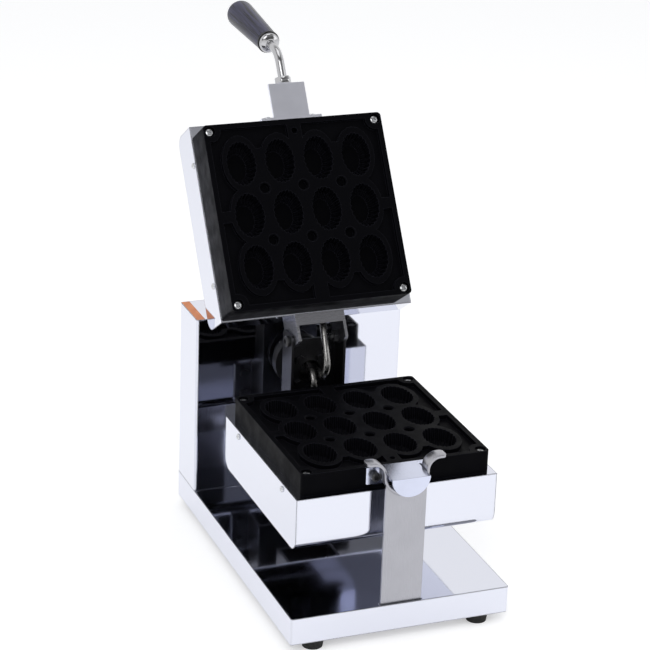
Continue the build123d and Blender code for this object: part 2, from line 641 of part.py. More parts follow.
def mould_plate():
    """Drawn with its working face at z = 0 and its middle at the origin."""
    half = PLATE_W / 2
    body = extrude(RectangleRounded(PLATE_W, PLATE_W, PLATE_CORNER_R), -PLATE_T)
    moat = RectangleRounded(PLATE_W - 2 * RIM_W, PLATE_W - 2 * RIM_W, 6.0) - island()
    moat -= Rectangle(PLATE_W, 13.0)
    moat -= Rectangle(16.5, PLATE_W)
    for x in (-PLATE_SCREW, PLATE_SCREW):
        for y in (-PLATE_SCREW, PLATE_SCREW):
            moat -= Pos(x, y) * Circle(12.0)
    body -= extrude(moat, -MOAT_DEPTH)
    space = cup()
    for x, y in cup_spots():
        body -= Pos(x, y, 0) * space
    for x in (-CUP_PITCH_X, 0, CUP_PITCH_X):
        for y in (-CUP_PITCH_Y / 2, CUP_PITCH_Y / 2):
            body -= round_bar(11.0, (x, y, 0), DOWN, 7.0)
            body -= Pos(x, y, 0) * Cone(5.5, 6.7, 1.2, align=(Align.CENTER, Align.CENTER, Align.MAX))
    body -= round_bar(7.0, (0, -93.0, 0), DOWN, 8.0)
    for x in (-PLATE_SCREW, PLATE_SCREW):
        for y in (-PLATE_SCREW, PLATE_SCREW):
            body -= round_bar(12.0, (x, y, 0), DOWN, COUNTERBORE)
            body -= round_bar(5.6, (x, y, 0), DOWN, PLATE_T)
    for x in (-TONGUE_SCREW_X, TONGUE_SCREW_X):
        body -= round_bar(6.0, (x, -half, PARTING - TONGUE_SCREW_DROP), BACK, 14.0)
    for x, y in CLAMP_SCREWS:
        body -= round_bar(5.0, (x, y - IRON_Y, -PLATE_T), UP, 10.0)
    return Pos(0, IRON_Y, PLATE_TOP) * body


def plate_screws():
    """Corner screws down through the plate, each with its nut under the housing's lip."""
    head_z = PLATE_TOP - COUNTERBORE
    length = PLATE_T - COUNTERBORE + HOUSING_T + 5.5
    pieces = []
    for x in (-PLATE_SCREW, PLATE_SCREW):
        for y in (IRON_Y - PLATE_SCREW, IRON_Y + PLATE_SCREW):
            pieces.append(screw((x, y, head_z), UP, 11.2, PLATE_SCREW_HEAD, 5.0, length))
            pieces.append(hex_nut((x, y, SEAT_Z - HOUSING_T), DOWN, 8.0, 4.0, 5.0))
    return group(pieces)


def side_screws():
    """Small pan-head screws below the lip, each with its nut behind the wall."""
    pieces = []
    for side, y in SIDE_SCREWS:
        z = SEAT_Z - SIDE_SCREW_DROP
        pieces.append(screw((side * HOUSING_W / 2, y, z), (side, 0, 0), 7.0, 2.0, 4.0, 6.0))
        pieces.append(hex_nut((side * (HOUSING_W / 2 - HOUSING_T), y, z), (-side, 0, 0), 7.0, 3.0, 4.0))
    return group(pieces)


def heater():
    """A tubular element in four runs under the plate, with both ends bent down."""
    left = -HEATER_RUN
    right = HEATER_RUN
    rows = [IRON_Y + HEATER_PITCH * (row - 1.5) for row in range(4)]
    radius = HEATER_PITCH / 2
    path = Line((left - 8, rows[0]), (right, rows[0]))
    path += ThreePointArc((right, rows[0]), (right + radius, rows[0] + radius), (right, rows[1]))
    path += Line((right, rows[1]), (left, rows[1]))
    path += ThreePointArc((left, rows[1]), (left - radius, rows[1] + radius), (left, rows[2]))
    path += Line((left, rows[2]), (right, rows[2]))
    path += ThreePointArc((right, rows[2]), (right + radius, rows[2] + radius), (right, rows[3]))
    path += Line((right, rows[3]), (left - 8, rows[3]))
    wire = Pos(0, 0, HEATER_Z) * path
    section = Plane(origin=(left - 8, rows[0], HEATER_Z), z_dir=RIGHT) * Circle(HEATER_D / 2)
    return sweep(section, path=wire)


def clamp_plate():
    z1 = SEAT_Z - HEATER_D
    plate = block(-80, 80, IRON_Y - 86, IRON_Y + 86, z1 - CLAMP_T, z1)
    for x, y in CLAMP_SCREWS:
        plate -= round_bar(5.4, (x, y, z1), DOWN, CLAMP_T)
    return plate


def clamp_screws():
    z0 = SEAT_Z - HEATER_D - CLAMP_T
    return group(screw((x, y, z0), DOWN, 9.0, 3.0, 5.0, CLAMP_T + HEATER_D + 9) for x, y in CLAMP_SCREWS)


def lagging(depth):
    top = SEAT_Z - HEATER_D - CLAMP_T - 0.3
    bottom = SEAT_Z - depth + HOUSING_T + 0.3
    body = block(-LAGGING_HALF, LAGGING_HALF, IRON_Y - LAGGING_HALF, IRON_Y + LAGGING_HALF, bottom, top)
    for x, y in CLAMP_SCREWS:
        body -= round_bar(10.0, (x, y, top), DOWN, 3.6)
    return body


# Tongues at the front, which close into one bar that turns in the cradle

def tongue(disc_front):
    front = PLATE_FRONT - TONGUE_T
    top = PLATE_TOP
    flange = block(-TONGUE_FLANGE_W / 2, TONGUE_FLANGE_W / 2, front, PLATE_FRONT, top - TONGUE_FLANGE_H, top)
    flange = fillet(flange.edges().filter_by(Axis.Y).group_by(Axis.Z)[0], 2.0)
    shelf = block(-TONGUE_W / 2, TONGUE_W / 2, disc_front, PLATE_FRONT, top - TONGUE_T, top)
    outline = Circle(TONGUE_W / 2) - Pos(0, TONGUE_W / 2) * Rectangle(TONGUE_W * 2, TONGUE_W)
    disc = Pos(0, disc_front + TONGUE_T, top) * extrude(Plane.XZ * outline, TONGUE_T)
    body = flange + shelf + disc
    for x in (-TONGUE_SCREW_X, TONGUE_SCREW_X):
        body -= round_bar(6.4, (x, PLATE_FRONT, SPIN_Z - TONGUE_SCREW_DROP), FRONT, TONGUE_T)
    return body


def tongue_screws():
    pieces = []
    y0 = PLATE_FRONT - TONGUE_T
    for x in (-TONGUE_SCREW_X, TONGUE_SCREW_X):
        z = SPIN_Z - TONGUE_SCREW_DROP
        bolt = screw((x, y0, z), FRONT, 10.0, 6.0, 6.0, TONGUE_T + 12)
        pieces.append(bolt - hex_block((x, y0 - 3, z), FRONT, 5.0, 4.0))
    return group(pieces)


UPPER_DISC_Y = LOWER_DISC_Y - TONGUE_T


def upper_tongue():
    """The lid's tongue, whose half disc stands in front of the other one and holds the handle."""
    hole = round_bar(ROD_D + 0.1, (0, UPPER_DISC_Y, SPIN_Z - ROD_RISE), BACK, TONGUE_T)
    return tongue(UPPER_DISC_Y) - hole


# Handle, drawn on the closed lid: straight out of the tongue, then bent up

ROD_Z = SPIN_Z + ROD_RISE
ROD_STRAIGHT = 26.0
ROD_TAIL = 11.0
ROD_IN_GRIP = 60.0
NUT_ACROSS = 17.0
NUT_H = 9.0
FERRULE_L = 7.0
RING_L = 3.0
BEND_START = UPPER_DISC_Y - ROD_STRAIGHT
GRIP_DIR = (0, -math.cos(math.radians(ROD_BEND)), math.sin(math.radians(ROD_BEND)))
BEND_END = (0, BEND_START - ROD_BEND_R * GRIP_DIR[2], ROD_Z + ROD_BEND_R * (1 + GRIP_DIR[1]))


def along_grip(distance):
    return tuple(BEND_END[i] + distance * GRIP_DIR[i] for i in range(3))


def handle_rod():
    start = (0, UPPER_DISC_Y + TONGUE_T, ROD_Z)
    bend = (0, BEND_START, ROD_Z)
    path = Line(start, bend)
    path += TangentArc(bend, BEND_END, tangent=FRONT)
    path += Line(BEND_END, along_grip(ROD_TAIL + FERRULE_L + RING_L + ROD_IN_GRIP))
    section = Plane(origin=start, z_dir=FRONT) * Circle(ROD_D / 2)
    return sweep(section, path=path)


def handle_nut():
    body = hex_block((0, UPPER_DISC_Y, ROD_Z), FRONT, NUT_ACROSS, NUT_H, turn=30.0)
    return body - round_bar(ROD_D + 0.1, (0, UPPER_DISC_Y, ROD_Z), FRONT, NUT_H)


def turned(profile, distance):
    """Turns a half outline of (radius, height) points about the grip's axis."""
    face = Plane.XZ * make_face(profile)
    body = revolve(face, Axis.Z)
    return Plane(origin=along_grip(distance), z_dir=GRIP_DIR).location * body


def handle_ferrule():
    bore = ROD_D / 2 + 0.05
    outer = GRIP_D / 2 - 1
    profile = Polyline((bore, 0), (bore + 2.2, 0), (outer, 3.0), (outer, FERRULE_L), (bore, FERRULE_L),
                       close=True)
    return turned(profile, ROD_TAIL)


def handle_ring():
    bore = ROD_D / 2 + 0.05
    outer = GRIP_D / 2 + 0.4
    profile = Polyline((bore, 0), (outer, 0), (outer, RING_L), (bore, RING_L), close=True)
    return turned(profile, ROD_TAIL + FERRULE_L)


def handle_grip():
    bore = ROD_D / 2 + 0.05
    depth = ROD_IN_GRIP + 0.5
    end_r = GRIP_END_D / 2
    flat = end_r - GRIP_ROUND
    shoulder = GRIP_L - GRIP_ROUND
    middle = GRIP_ROUND * math.sqrt(0.5)
    side = Line((GRIP_D / 2, 0), (end_r, shoulder))
    end = ThreePointArc((end_r, shoulder), (flat + middle, shoulder + middle), (flat, GRIP_L))
    inside = Polyline((flat, GRIP_L), (0, GRIP_L), (0, depth), (bore, depth), (bore, 0), (GRIP_D / 2, 0))
    return turned(side + end + inside, ROD_TAIL + FERRULE_L + RING_L)


# Lid hinge bracket on the back wall of the upper housing, drawn closed

def hinge_bracket():
    low = HINGE_Z - 25.5
    high = HINGE_Z + 16.5
    y0 = HOUSING_BACK
    outline = Polyline((y0, low), (HINGE_Y + 6, low), (HINGE_Y + 8, low + 17), (HINGE_Y + 8, HINGE_Z + 3),
                       (HINGE_Y - 11, high), (y0, high), close=True)
    ear = extrude(Plane.YZ * make_face(outline), YOKE_T)
    body = block(-EAR_X, EAR_X, y0, y0 + YOKE_T, low, high)
    body += block(-EAR_X, EAR_X, y0, y0 + 13, low, low + YOKE_T)
    body += Pos(-EAR_X, 0, 0) * ear
    body += Pos(EAR_X - YOKE_T, 0, 0) * ear
    body -= round_bar(PIVOT_D + 2 * PIVOT_FIT, (-YOKE_W, HINGE_Y, HINGE_Z), RIGHT, 2 * YOKE_W)
    for x, z in BRACKET_SCREWS:
        body -= round_bar(5.4, (x, y0, z), BACK, YOKE_T)
    body -= round_bar(GLAND_THREAD_D + 0.2, (UPPER_GLAND[0], y0, HINGE_Z - 0.5), BACK, YOKE_T)
    return body


def bracket_screws():
    pieces = []
    for x, z in BRACKET_SCREWS:
        pieces.append(screw((x, HOUSING_BACK + YOKE_T, z), BACK, 9.0, 3.0, 5.0, YOKE_T + HOUSING_T + 5))
        pieces.append(hex_nut((x, HOUSING_BACK - HOUSING_T, z), FRONT, 8.0, 4.0, 5.0))
    return group(pieces)


# Conduits that carry the wires out of the hollow shaft

CONDUIT_IN_SHAFT = SHAFT_END + 4.0
LOWER_ENTRY = (-2.6, SPIN_Z + 4.0)
UPPER_ENTRY = (6.6, SPIN_Z - 3.5)
LOWER_BEND_R = 14.0
WALL_BEND_R = 12.0
GLAND_REACH = 7.0
UPPER_BEND_R = 16.0
INSIDE_WALL = 8.0


def gland(x, z, extra):
    """A hexagon gland on the back wall of a housing, drawn on the closed iron."""
    outside = hex_block((x, HOUSING_BACK + extra, z), BACK, 15.0, 6.0)
    thread = round_bar(GLAND_THREAD_D, (x, HOUSING_BACK + extra, z), FRONT, extra + HOUSING_T + 6)
    lock = hex_block((x, HOUSING_BACK - HOUSING_T, z), FRONT, 15.0, 3.0)
    bore = round_bar(CONDUIT_D + 2 * GLAND_FIT, (x, HOUSING_BACK + 20, z), FRONT, 40)
    return outside + thread + lock - bore


def lower_conduit():
    """Out of the shaft, down behind the plate and forward into the lower housing."""
    x, entry_z = LOWER_ENTRY
    wall_z = LOWER_GLAND[1]
    wall_y = HOUSING_BACK + GLAND_REACH
    drop_y = wall_y + WALL_BEND_R
    turn_y = drop_y + LOWER_BEND_R
    start = (x, CONDUIT_IN_SHAFT, entry_z)
    low = (x, drop_y, wall_z + WALL_BEND_R)
    high = (x, drop_y, entry_z - LOWER_BEND_R)
    path = Line(start, (x, turn_y, entry_z))
    path += TangentArc((x, turn_y, entry_z), high, tangent=FRONT)
    path += Line(high, low)
    path += TangentArc(low, (x, wall_y, wall_z), tangent=DOWN)
    path += Line((x, wall_y, wall_z), (x, HOUSING_BACK - INSIDE_WALL, wall_z))
    return sweep(Plane(origin=start, z_dir=FRONT) * Circle(CONDUIT_D / 2), path=path)


def upper_conduit():
    """Drawn for the open lid: out of the shaft, round one bend and up into the lid's back wall."""
    angle = math.radians(OPEN_ANGLE)
    back_y = HOUSING_BACK - HINGE_Y
    wall = (HINGE_Y + back_y * math.cos(angle) - 0.5 * math.sin(angle),
            HINGE_Z - back_y * math.sin(angle) - 0.5 * math.cos(angle))
    heading = (-math.cos(angle), math.sin(angle))
    start_x, start_z = UPPER_ENTRY
    rise = wall[1] - start_z
    slant = math.atan2(UPPER_GLAND[0] - start_x, rise)
    bend_rise = UPPER_BEND_R * (1 + heading[0])
    run = (rise / math.cos(slant) - bend_rise) / heading[1]
    bend_y = wall[0] - run * heading[0]
    turn_y = bend_y + UPPER_BEND_R * heading[1]

    def place(y, height):
        return (start_x + height * math.sin(slant), y, start_z + height * math.cos(slant))

    start = place(CONDUIT_IN_SHAFT, 0)
    end = place(wall[0] + INSIDE_WALL * heading[0], rise / math.cos(slant) + INSIDE_WALL * heading[1])
    path = Line(start, place(turn_y, 0))
    path += TangentArc(place(turn_y, 0), place(bend_y, bend_rise), tangent=FRONT)
    path += Line(place(bend_y, bend_rise), end)
    return sweep(Plane(origin=start, z_dir=FRONT) * Circle(CONDUIT_D / 2), path=path)


# Upright and cradle

def cradle():
    """A strip bent to a U whose ends flare out flat, so that the closed tongues turn inside it."""
    inner = CRADLE_R
    outer = CRADLE_R + CRADLE_T
    bend = inner + HORN_R
    tip = bend + HORN_END
    under = HORN_R - CRADLE_T
    slope = math.sqrt(0.5)
    profile = Line((-tip, HORN_R), (-bend, HORN_R))
    profile += ThreePointArc((-bend, HORN_R), (HORN_R * slope - bend, HORN_R * slope), (-inner, 0))
    profile += ThreePointArc((-inner, 0), (0, -inner), (inner, 0))
    profile += ThreePointArc((inner, 0), (bend - HORN_R * slope, HORN_R * slope), (bend, HORN_R))
    profile += Polyline((bend, HORN_R), (tip, HORN_R), (tip, under), (bend, under))
    profile += ThreePointArc((bend, under), (bend - under * slope, under * slope), (outer, 0))
    profile += ThreePointArc((outer, 0), (0, -outer), (-outer, 0))
    profile += ThreePointArc((-outer, 0), (under * slope - bend, under * slope), (-bend, under))
    profile += Polyline((-bend, under), (-tip, under), (-tip, HORN_R))
    body = Pos(0, UPRIGHT_Y + CRADLE_D, SPIN_Z) * extrude(Plane.XZ * make_face(profile), CRADLE_D)
    corners = [edge for edge in body.edges().filter_by(Axis.Z) if abs(edge.center().X) > tip - 0.1]
    return fillet(corners, HORN_CORNER)


def upright():
    """A strip that stands in a slot of the deck, with a foot bent back below it."""
    low = DECK_Z - SHELL_T - UPRIGHT_T
    plate = block(-UPRIGHT_W / 2, UPRIGHT_W / 2, UPRIGHT_Y, UPRIGHT_Y + UPRIGHT_T, low, SPIN_Z)
    plate -= round_bar(2 * (CRADLE_R + CRADLE_T) + 0.04, (0, UPRIGHT_Y, SPIN_Z), BACK, UPRIGHT_T)
    foot = block(-UPRIGHT_W / 2, UPRIGHT_W / 2, UPRIGHT_Y, UPRIGHT_Y + UPRIGHT_FOOT, low, low + UPRIGHT_T)
    body = plate + foot
    for x, y in UPRIGHT_STUDS:
        body -= round_bar(5.4, (x, y, low), UP, UPRIGHT_T)
    return body


def upright_studs():
    """Studs under the deck, with the nuts that hold the upright's foot."""
    under = DECK_Z - SHELL_T
    pieces = []
    for x, y in UPRIGHT_STUDS:
        pieces.append(round_bar(5.0, (x, y, under), DOWN, UPRIGHT_T + 7))
        pieces.append(hex_nut((x, y, under - UPRIGHT_T), DOWN, 8.0, 4.0, 5.0))
    return group(pieces)


def all_nodes():
    upper_holes = mirrored_z(BRACKET_SCREWS)
    plate = mould_plate()
    return {
        "base_tray": base_tray(),
        "base_bottom_plate": bottom_plate(),
        "feet": feet(),
        "foot_screws": foot_screws(),
        "front_upright": upright(),
        "upright_studs": upright_studs(),
        "cradle": cradle(),
        "column_shell": column_shell(),
        "column_bolts": column_bolts(),
        "back_cover": back_cover(),
        "back_cover_screws": back_cover_screws(),
        "cord_gland": cord_gland(),
        "control_bodies": group([thermostat_body(), timer_body()]),
        "thermostat_knob": knob(THERMOSTAT_X),
        "timer_knob": knob(TIMER_X),
        "rocker_housing": rocker_housing(),
        "rocker": rocker(),
        "pilot_lamp": pilot_lamp(),
        "terminal_block": terminal_block(),
        "backing_plate": backing_plate(),
        "bearing_housing": bearing_housing(),
        "bearing_bush": bearing_bush(),
        "bearing_screws": bearing_screws(),
        "spin_shaft": spin_shaft(),
        "shaft_collar": shaft_collar(),
        "yoke": yoke(),
        "yoke_bolts": yoke_bolts(),
        "iron_bolts": iron_bolts(),
        "pivot_bolts": pivot_bolts(),
        "lower_housing": housing(LOWER_DEPTH, LOWER_GLAND, IRON_BOLTS, IRON_BOLT_D + 0.4),
        "lower_side_screws": side_screws(),
        "lower_mould_plate": plate,
        "lower_plate_screws": plate_screws(),
        "lower_heater": heater(),
        "lower_clamp_plate": clamp_plate(),
        "lower_clamp_screws": clamp_screws(),
        "lower_lagging": lagging(LOWER_DEPTH),
        "lower_tongue": tongue(LOWER_DISC_Y),
        "lower_tongue_screws": tongue_screws(),
        "lower_gland": gland(LOWER_GLAND[0], LOWER_GLAND[1], 0),
        "lower_conduit": lower_conduit(),
        "upper_housing": lid(housing(UPPER_DEPTH, UPPER_GLAND, upper_holes, 5.4)),
        "upper_side_screws": lid(side_screws()),
        "upper_mould_plate": lid(plate),
        "upper_plate_screws": lid(plate_screws()),
        "upper_heater": lid(heater()),
        "upper_clamp_plate": lid(clamp_plate()),
        "upper_clamp_screws": lid(clamp_screws()),
        "upper_lagging": lid(lagging(UPPER_DEPTH)),
        "upper_tongue": lid(upper_tongue()),
        "upper_tongue_screws": lid(tongue_screws()),
        "upper_gland": opened(gland(UPPER_GLAND[0], HINGE_Z - 0.5, YOKE_T)),
        "upper_conduit": upper_conduit(),
        "hinge_bracket": opened(hinge_bracket()),
        "bracket_screws": opened(bracket_screws()),
        "handle_nut": opened(handle_nut()),
        "handle_rod": opened(handle_rod()),
        "handle_ferrule": opened(handle_ferrule()),
        "handle_ring": opened(handle_ring()),
        "handle_grip": opened(handle_grip()),
    }


def write_parts():
    """Moves the origin under the middle, from the tongue's front to the grip's end, and writes."""
    nodes = all_nodes()
    front = nodes["lower_tongue"].bounding_box().min.Y
    back = nodes["handle_grip"].bounding_box().max.Y
    to_middle = Pos(0, -(front + back) / 2, 0)
    os.makedirs("parts", exist_ok=True)
    for name, shape in nodes.items():
        export_step(moved_each(shape, lambda solid: to_middle * solid), f"parts/{name}.step")


write_parts()
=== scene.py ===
import json
import math

import bmesh
import bpy
from bpy.props import FloatProperty, FloatVectorProperty, PointerProperty
from mathutils import Matrix, Vector

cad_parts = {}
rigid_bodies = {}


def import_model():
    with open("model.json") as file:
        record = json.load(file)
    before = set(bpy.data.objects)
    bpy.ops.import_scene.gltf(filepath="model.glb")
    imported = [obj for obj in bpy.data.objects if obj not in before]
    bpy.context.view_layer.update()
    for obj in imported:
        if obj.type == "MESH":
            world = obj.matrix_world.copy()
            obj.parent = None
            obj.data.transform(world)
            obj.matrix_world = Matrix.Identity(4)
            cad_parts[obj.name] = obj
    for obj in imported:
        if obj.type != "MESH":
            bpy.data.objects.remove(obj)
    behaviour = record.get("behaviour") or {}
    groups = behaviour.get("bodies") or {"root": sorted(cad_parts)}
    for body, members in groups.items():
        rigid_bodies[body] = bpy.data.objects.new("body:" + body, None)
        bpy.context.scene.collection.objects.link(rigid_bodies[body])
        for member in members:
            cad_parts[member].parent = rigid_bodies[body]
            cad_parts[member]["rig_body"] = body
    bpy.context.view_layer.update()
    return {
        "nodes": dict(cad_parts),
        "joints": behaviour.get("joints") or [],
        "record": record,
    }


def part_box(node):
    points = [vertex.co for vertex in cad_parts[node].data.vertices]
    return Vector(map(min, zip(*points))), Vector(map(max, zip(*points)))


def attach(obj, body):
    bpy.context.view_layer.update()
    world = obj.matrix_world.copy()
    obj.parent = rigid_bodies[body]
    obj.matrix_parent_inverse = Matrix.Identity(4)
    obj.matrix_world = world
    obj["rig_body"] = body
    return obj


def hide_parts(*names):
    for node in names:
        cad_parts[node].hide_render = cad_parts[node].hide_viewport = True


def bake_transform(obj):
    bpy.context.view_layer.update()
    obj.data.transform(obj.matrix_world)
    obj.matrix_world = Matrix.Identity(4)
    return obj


bl_info = {
    "name": "Cake Iron",
    "version": (1, 0, 0),
    "blender": (4, 5, 0),
    "location": "View3D > Sidebar > Cake Iron",
    "description": "Dresses a turning counter-top iron for small oval cakes and sets it in a studio",
    "category": "Object",
}

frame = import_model()

JOINTS = {joint["name"]: joint for joint in frame["joints"]}
SLOT_OF = {part["node"]: part["material_slot"] for part in frame["record"]["subparts"]}

# The machine is measured in millimetres: x across, y back from the base's front edge, z up.
MM = 0.001
BASE_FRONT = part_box("base_tray")[0].y
COLUMN_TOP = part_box("column_shell")[1].z / MM
SPIN_Z = JOINTS["flip"]["pos_m"][2] / MM
HINGE_PLACE = Vector(JOINTS["lid_hinge"]["pos_m"])
OPEN_ANGLE = math.radians(JOINTS["lid_hinge"]["range_deg"][1])

# Places on the machine that the part's source sets.
HALF_PLATE_GAP = 0.3
PLATE_HEIGHT = 25
COUNTERBORE = 5.5
HOUSING_BACK = 250
PLATE_SCREW_X = (-99, 99)
PLATE_SCREW_Y = (38, 236)
SIDE_SCREW_Y = (67.5, 206.5)
SIDE_SCREW_DROP = 6.5
TONGUE_SCREW_X = (-26.6, 26.6)
TONGUE_SCREW_DROP = 10
LOWER_GLAND_Z = 146
CONTROLS_Y = 359
THERMOSTAT_X = -58.0
TIMER_X = 0.0
ROCKER_X = 48

# The photograph's width in pixels, in which the camera's focal length is given.
PICTURE_WIDTH = 650

FORWARD = (0, -1, 0)
ACROSS = (1, 0, 0)
UNMOVED = Matrix.Identity(4)
SMOOTH_LIMIT = math.radians(38)


# Places and turns

def machine(x, y, z):
    """A point given in the machine's millimetres, as a place in metres."""
    return Vector((x * MM, BASE_FRONT + y * MM, z * MM))


def opening_turn():
    """Swings a piece drawn on the closed lid to where the lid stands open."""
    return (Matrix.Translation(HINGE_PLACE) @ Matrix.Rotation(-OPEN_ANGLE, 4, "X")
            @ Matrix.Translation(-HINGE_PLACE))


def lid_turn():
    """Mirrors a piece of the lower iron onto the lid, then swings it open."""
    middle = Matrix.Translation((0, 0, SPIN_Z * MM))
    mirror = middle @ Matrix.Scale(-1, 4, (0, 0, 1)) @ middle.inverted()
    return opening_turn() @ mirror


def both_irons():
    """The name, body and turn that carry a piece of the lower iron to each iron."""
    return ("lower", "turner", UNMOVED), ("upper", "lid", lid_turn())


def stand_on(place, heading):
    """Carries a piece drawn at the origin along +Z to a place, pointing along a heading."""
    return Matrix.Translation(place) @ Vector(heading).to_track_quat("Z", "Y").to_matrix().to_4x4()


# Mesh helpers

def linked(name, data):
    """A new object in the scene, for a mesh, figures, a lamp or a camera."""
    holder = bpy.data.objects.new(name, data)
    bpy.context.collection.objects.link(holder)
    return holder


def bevel(bm, edges, width, segments):
    """Rounds off some edges."""
    bmesh.ops.bevel(bm, geom=edges, offset=width, offset_type="OFFSET", affect="EDGES", segments=segments,
                    profile=0.5, clamp_overlap=True, material=-1)


def bevel_sharp(bm, width, segments=2, angle=math.radians(40)):
    """Bevels the edges whose faces turn by more than an angle."""
    sharp = [edge for edge in bm.edges if edge.is_manifold and edge.calc_face_angle(0) > angle]
    bevel(bm, sharp, width, segments)


def lathe(outline, steps):
    """Spins an outline of (radius, height) points in metres about the z axis."""
    bm = bmesh.new()
    points = [bm.verts.new((radius, 0, height)) for radius, height in outline]
    edges = [bm.edges.new(pair) for pair in zip(points, points[1:])]
    bmesh.ops.spin(bm, geom=points + edges, cent=(0, 0, 0), axis=(0, 0, 1), dvec=(0, 0, 0),
                   angle=2 * math.pi, steps=steps, use_merge=True, use_duplicate=False)
    bmesh.ops.remove_doubles(bm, verts=bm.verts, dist=1e-6)
    bmesh.ops.recalc_face_normals(bm, faces=bm.faces)
    return bm


def slab(low, high, bevel=0.0, segments=2):
    """A block between two corners, with its edges eased."""
    bm = bmesh.new()
    bmesh.ops.create_cube(bm, size=1.0)
    size = Vector(high) - Vector(low)
    bmesh.ops.scale(bm, vec=size, verts=bm.verts)
    bmesh.ops.translate(bm, vec=(Vector(low) + Vector(high)) / 2, verts=bm.verts)
    if bevel:
        bevel_sharp(bm, bevel, segments)
    return bm


def hexagon(across, height, bevel=0.0):
    """A hexagonal block that stands on the origin."""
    corner = across / math.sqrt(3)
    bm = bmesh.new()
    bmesh.ops.create_cone(bm, cap_ends=True, segments=6, radius1=corner, radius2=corner, depth=height,
                          matrix=Matrix.Translation((0, 0, height / 2)))
    if bevel:
        bevel_sharp(bm, bevel, 1)
    return bm


def join(target, *others):
    """Adds other meshes to the first one and frees them."""
    for other in others:
        mesh = bpy.data.meshes.new("joining")
        other.to_mesh(mesh)
        other.free()
        target.from_mesh(mesh)
        bpy.data.meshes.remove(mesh)
    return target


def copied(bm, matrix):
    """A moved copy of a mesh."""
    fresh = bm.copy()
    bmesh.ops.transform(fresh, matrix=matrix, verts=fresh.verts)
    return fresh


def repeated(bm, matrices):
    """One mesh that holds a copy of another at each of several places."""
    total = bmesh.new()
    join(total, *[copied(bm, matrix) for matrix in matrices])
    bm.free()
    return total


def cut(solid, cutter):
    """Takes one mesh out of another."""
    holders = []
    for name, bm in (("solid", solid), ("cutter", cutter)):
        bmesh.ops.recalc_face_normals(bm, faces=bm.faces)
        mesh = bpy.data.meshes.new(name)
        bm.to_mesh(mesh)
        bm.free()
        holders.append(linked(name, mesh))
    tool = holders[0].modifiers.new("cut", "BOOLEAN")
    tool.object = holders[1]
    tool.solver = "EXACT"
    tool.operation = "DIFFERENCE"
    depsgraph = bpy.context.evaluated_depsgraph_get()
    result = bpy.data.meshes.new_from_object(holders[0].evaluated_get(depsgraph))
    bm = bmesh.new()
    bm.from_mesh(result)
    bpy.data.meshes.remove(result)
    for holder in holders:
        mesh = holder.data
        bpy.data.objects.remove(holder)
        bpy.data.meshes.remove(mesh)
    return bm


def lettering(words, size, thickness):
    """Plain figures as a thin raised mesh about the origin."""
    curve = bpy.data.curves.new("figures", "FONT")
    curve.body = words
    curve.size = size
    curve.extrude = thickness / 2
    curve.align_x = "CENTER"
    curve.align_y = "CENTER"
    holder = linked("figures", curve)
    depsgraph = bpy.context.evaluated_depsgraph_get()
    mesh = bpy.data.meshes.new_from_object(holder.evaluated_get(depsgraph))
    bm = bmesh.new()
    bm.from_mesh(mesh)
    bpy.data.objects.remove(holder)
    bpy.data.curves.remove(curve)
    bpy.data.meshes.remove(mesh)
    return bm


def add_piece(bm, name, body, skin, replaces=()):
    """Turns a mesh into a finished piece that rides on a body of the frame."""
    bmesh.ops.remove_doubles(bm, verts=bm.verts, dist=1e-7)
    bmesh.ops.recalc_face_normals(bm, faces=bm.faces)
    for face in bm.faces:
        face.smooth = True
    for edge in bm.edges:
        edge.smooth = not edge.is_manifold or edge.calc_face_angle(0) < SMOOTH_LIMIT
    mesh = bpy.data.meshes.new(name)
    bm.to_mesh(mesh)
    bm.free()
    piece = linked(name, mesh)
    mesh.materials.append(skin)
    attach(piece, body)
    if replaces:
        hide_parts(*replaces)
    return piece


class Pipe:
    """A round tube drawn as runs and bends, as a pipe is bent."""

    def __init__(self, place, heading, diameter, segments=24):
        self.bm = bmesh.new()
        self.place = Vector(place)
        self.heading = Vector(heading).normalized()
        made = bmesh.ops.create_circle(self.bm, cap_ends=True, segments=segments, radius=diameter / 2,
                                       matrix=stand_on(self.place, self.heading))
        self.rim = list(dict.fromkeys(edge for vert in made["verts"] for edge in vert.link_edges))

    def run(self, length, cuts=1):
        """Goes straight on, in a number of equal lengths that let the pipe bend."""
        for _ in range(cuts):
            made = bmesh.ops.extrude_edge_only(self.bm, edges=self.rim)["geom"]
            verts = [item for item in made if isinstance(item, bmesh.types.BMVert)]
            bmesh.ops.translate(self.bm, vec=self.heading * length / cuts, verts=verts)
            self.rim = [item for item in made if isinstance(item, bmesh.types.BMEdge)
                        and all(vert in verts for vert in item.verts)]
            self.place += self.heading * length / cuts
        return self

    def bend(self, radius, angle, axis, steps):
        """Turns the heading about an axis square to it, by the right-hand rule."""
        axis = Vector(axis).normalized()
        centre = self.place + axis.cross(self.heading) * math.copysign(radius, angle)
        verts = list(dict.fromkeys(vert for edge in self.rim for vert in edge.verts))
        made = bmesh.ops.spin(self.bm, geom=verts + self.rim, cent=centre, axis=axis, dvec=(0, 0, 0),
                              angle=angle, steps=steps, use_duplicate=False)["geom_last"]
        self.rim = [item for item in made if isinstance(item, bmesh.types.BMEdge)]
        turn = Matrix.Rotation(angle, 3, axis)
        self.place = centre + turn @ (self.place - centre)
        self.heading = turn @ self.heading
        return self

    def close(self):
        """Caps the far end and gives up the mesh."""
        bmesh.ops.edgeloop_fill(self.bm, edges=self.rim)
        return self.bm


# Finishes

# How closely the eased normal matches the face's, at an edge's heart and just beside it; the painted edge
# reflection fades in between.
EDGE_MATCH = (0.86, 0.995)
EDGE_SAMPLES = 4


def math_node(tree, operation, *values):
    """A Math node on numbers or on the outputs of other nodes."""
    node = tree.nodes.new("ShaderNodeMath")
    node.operation = operation
    for value, socket in zip(values, node.inputs):
        if isinstance(value, float):
            socket.default_value = value
        else:
            tree.links.new(value, socket)
    return node.outputs[0]


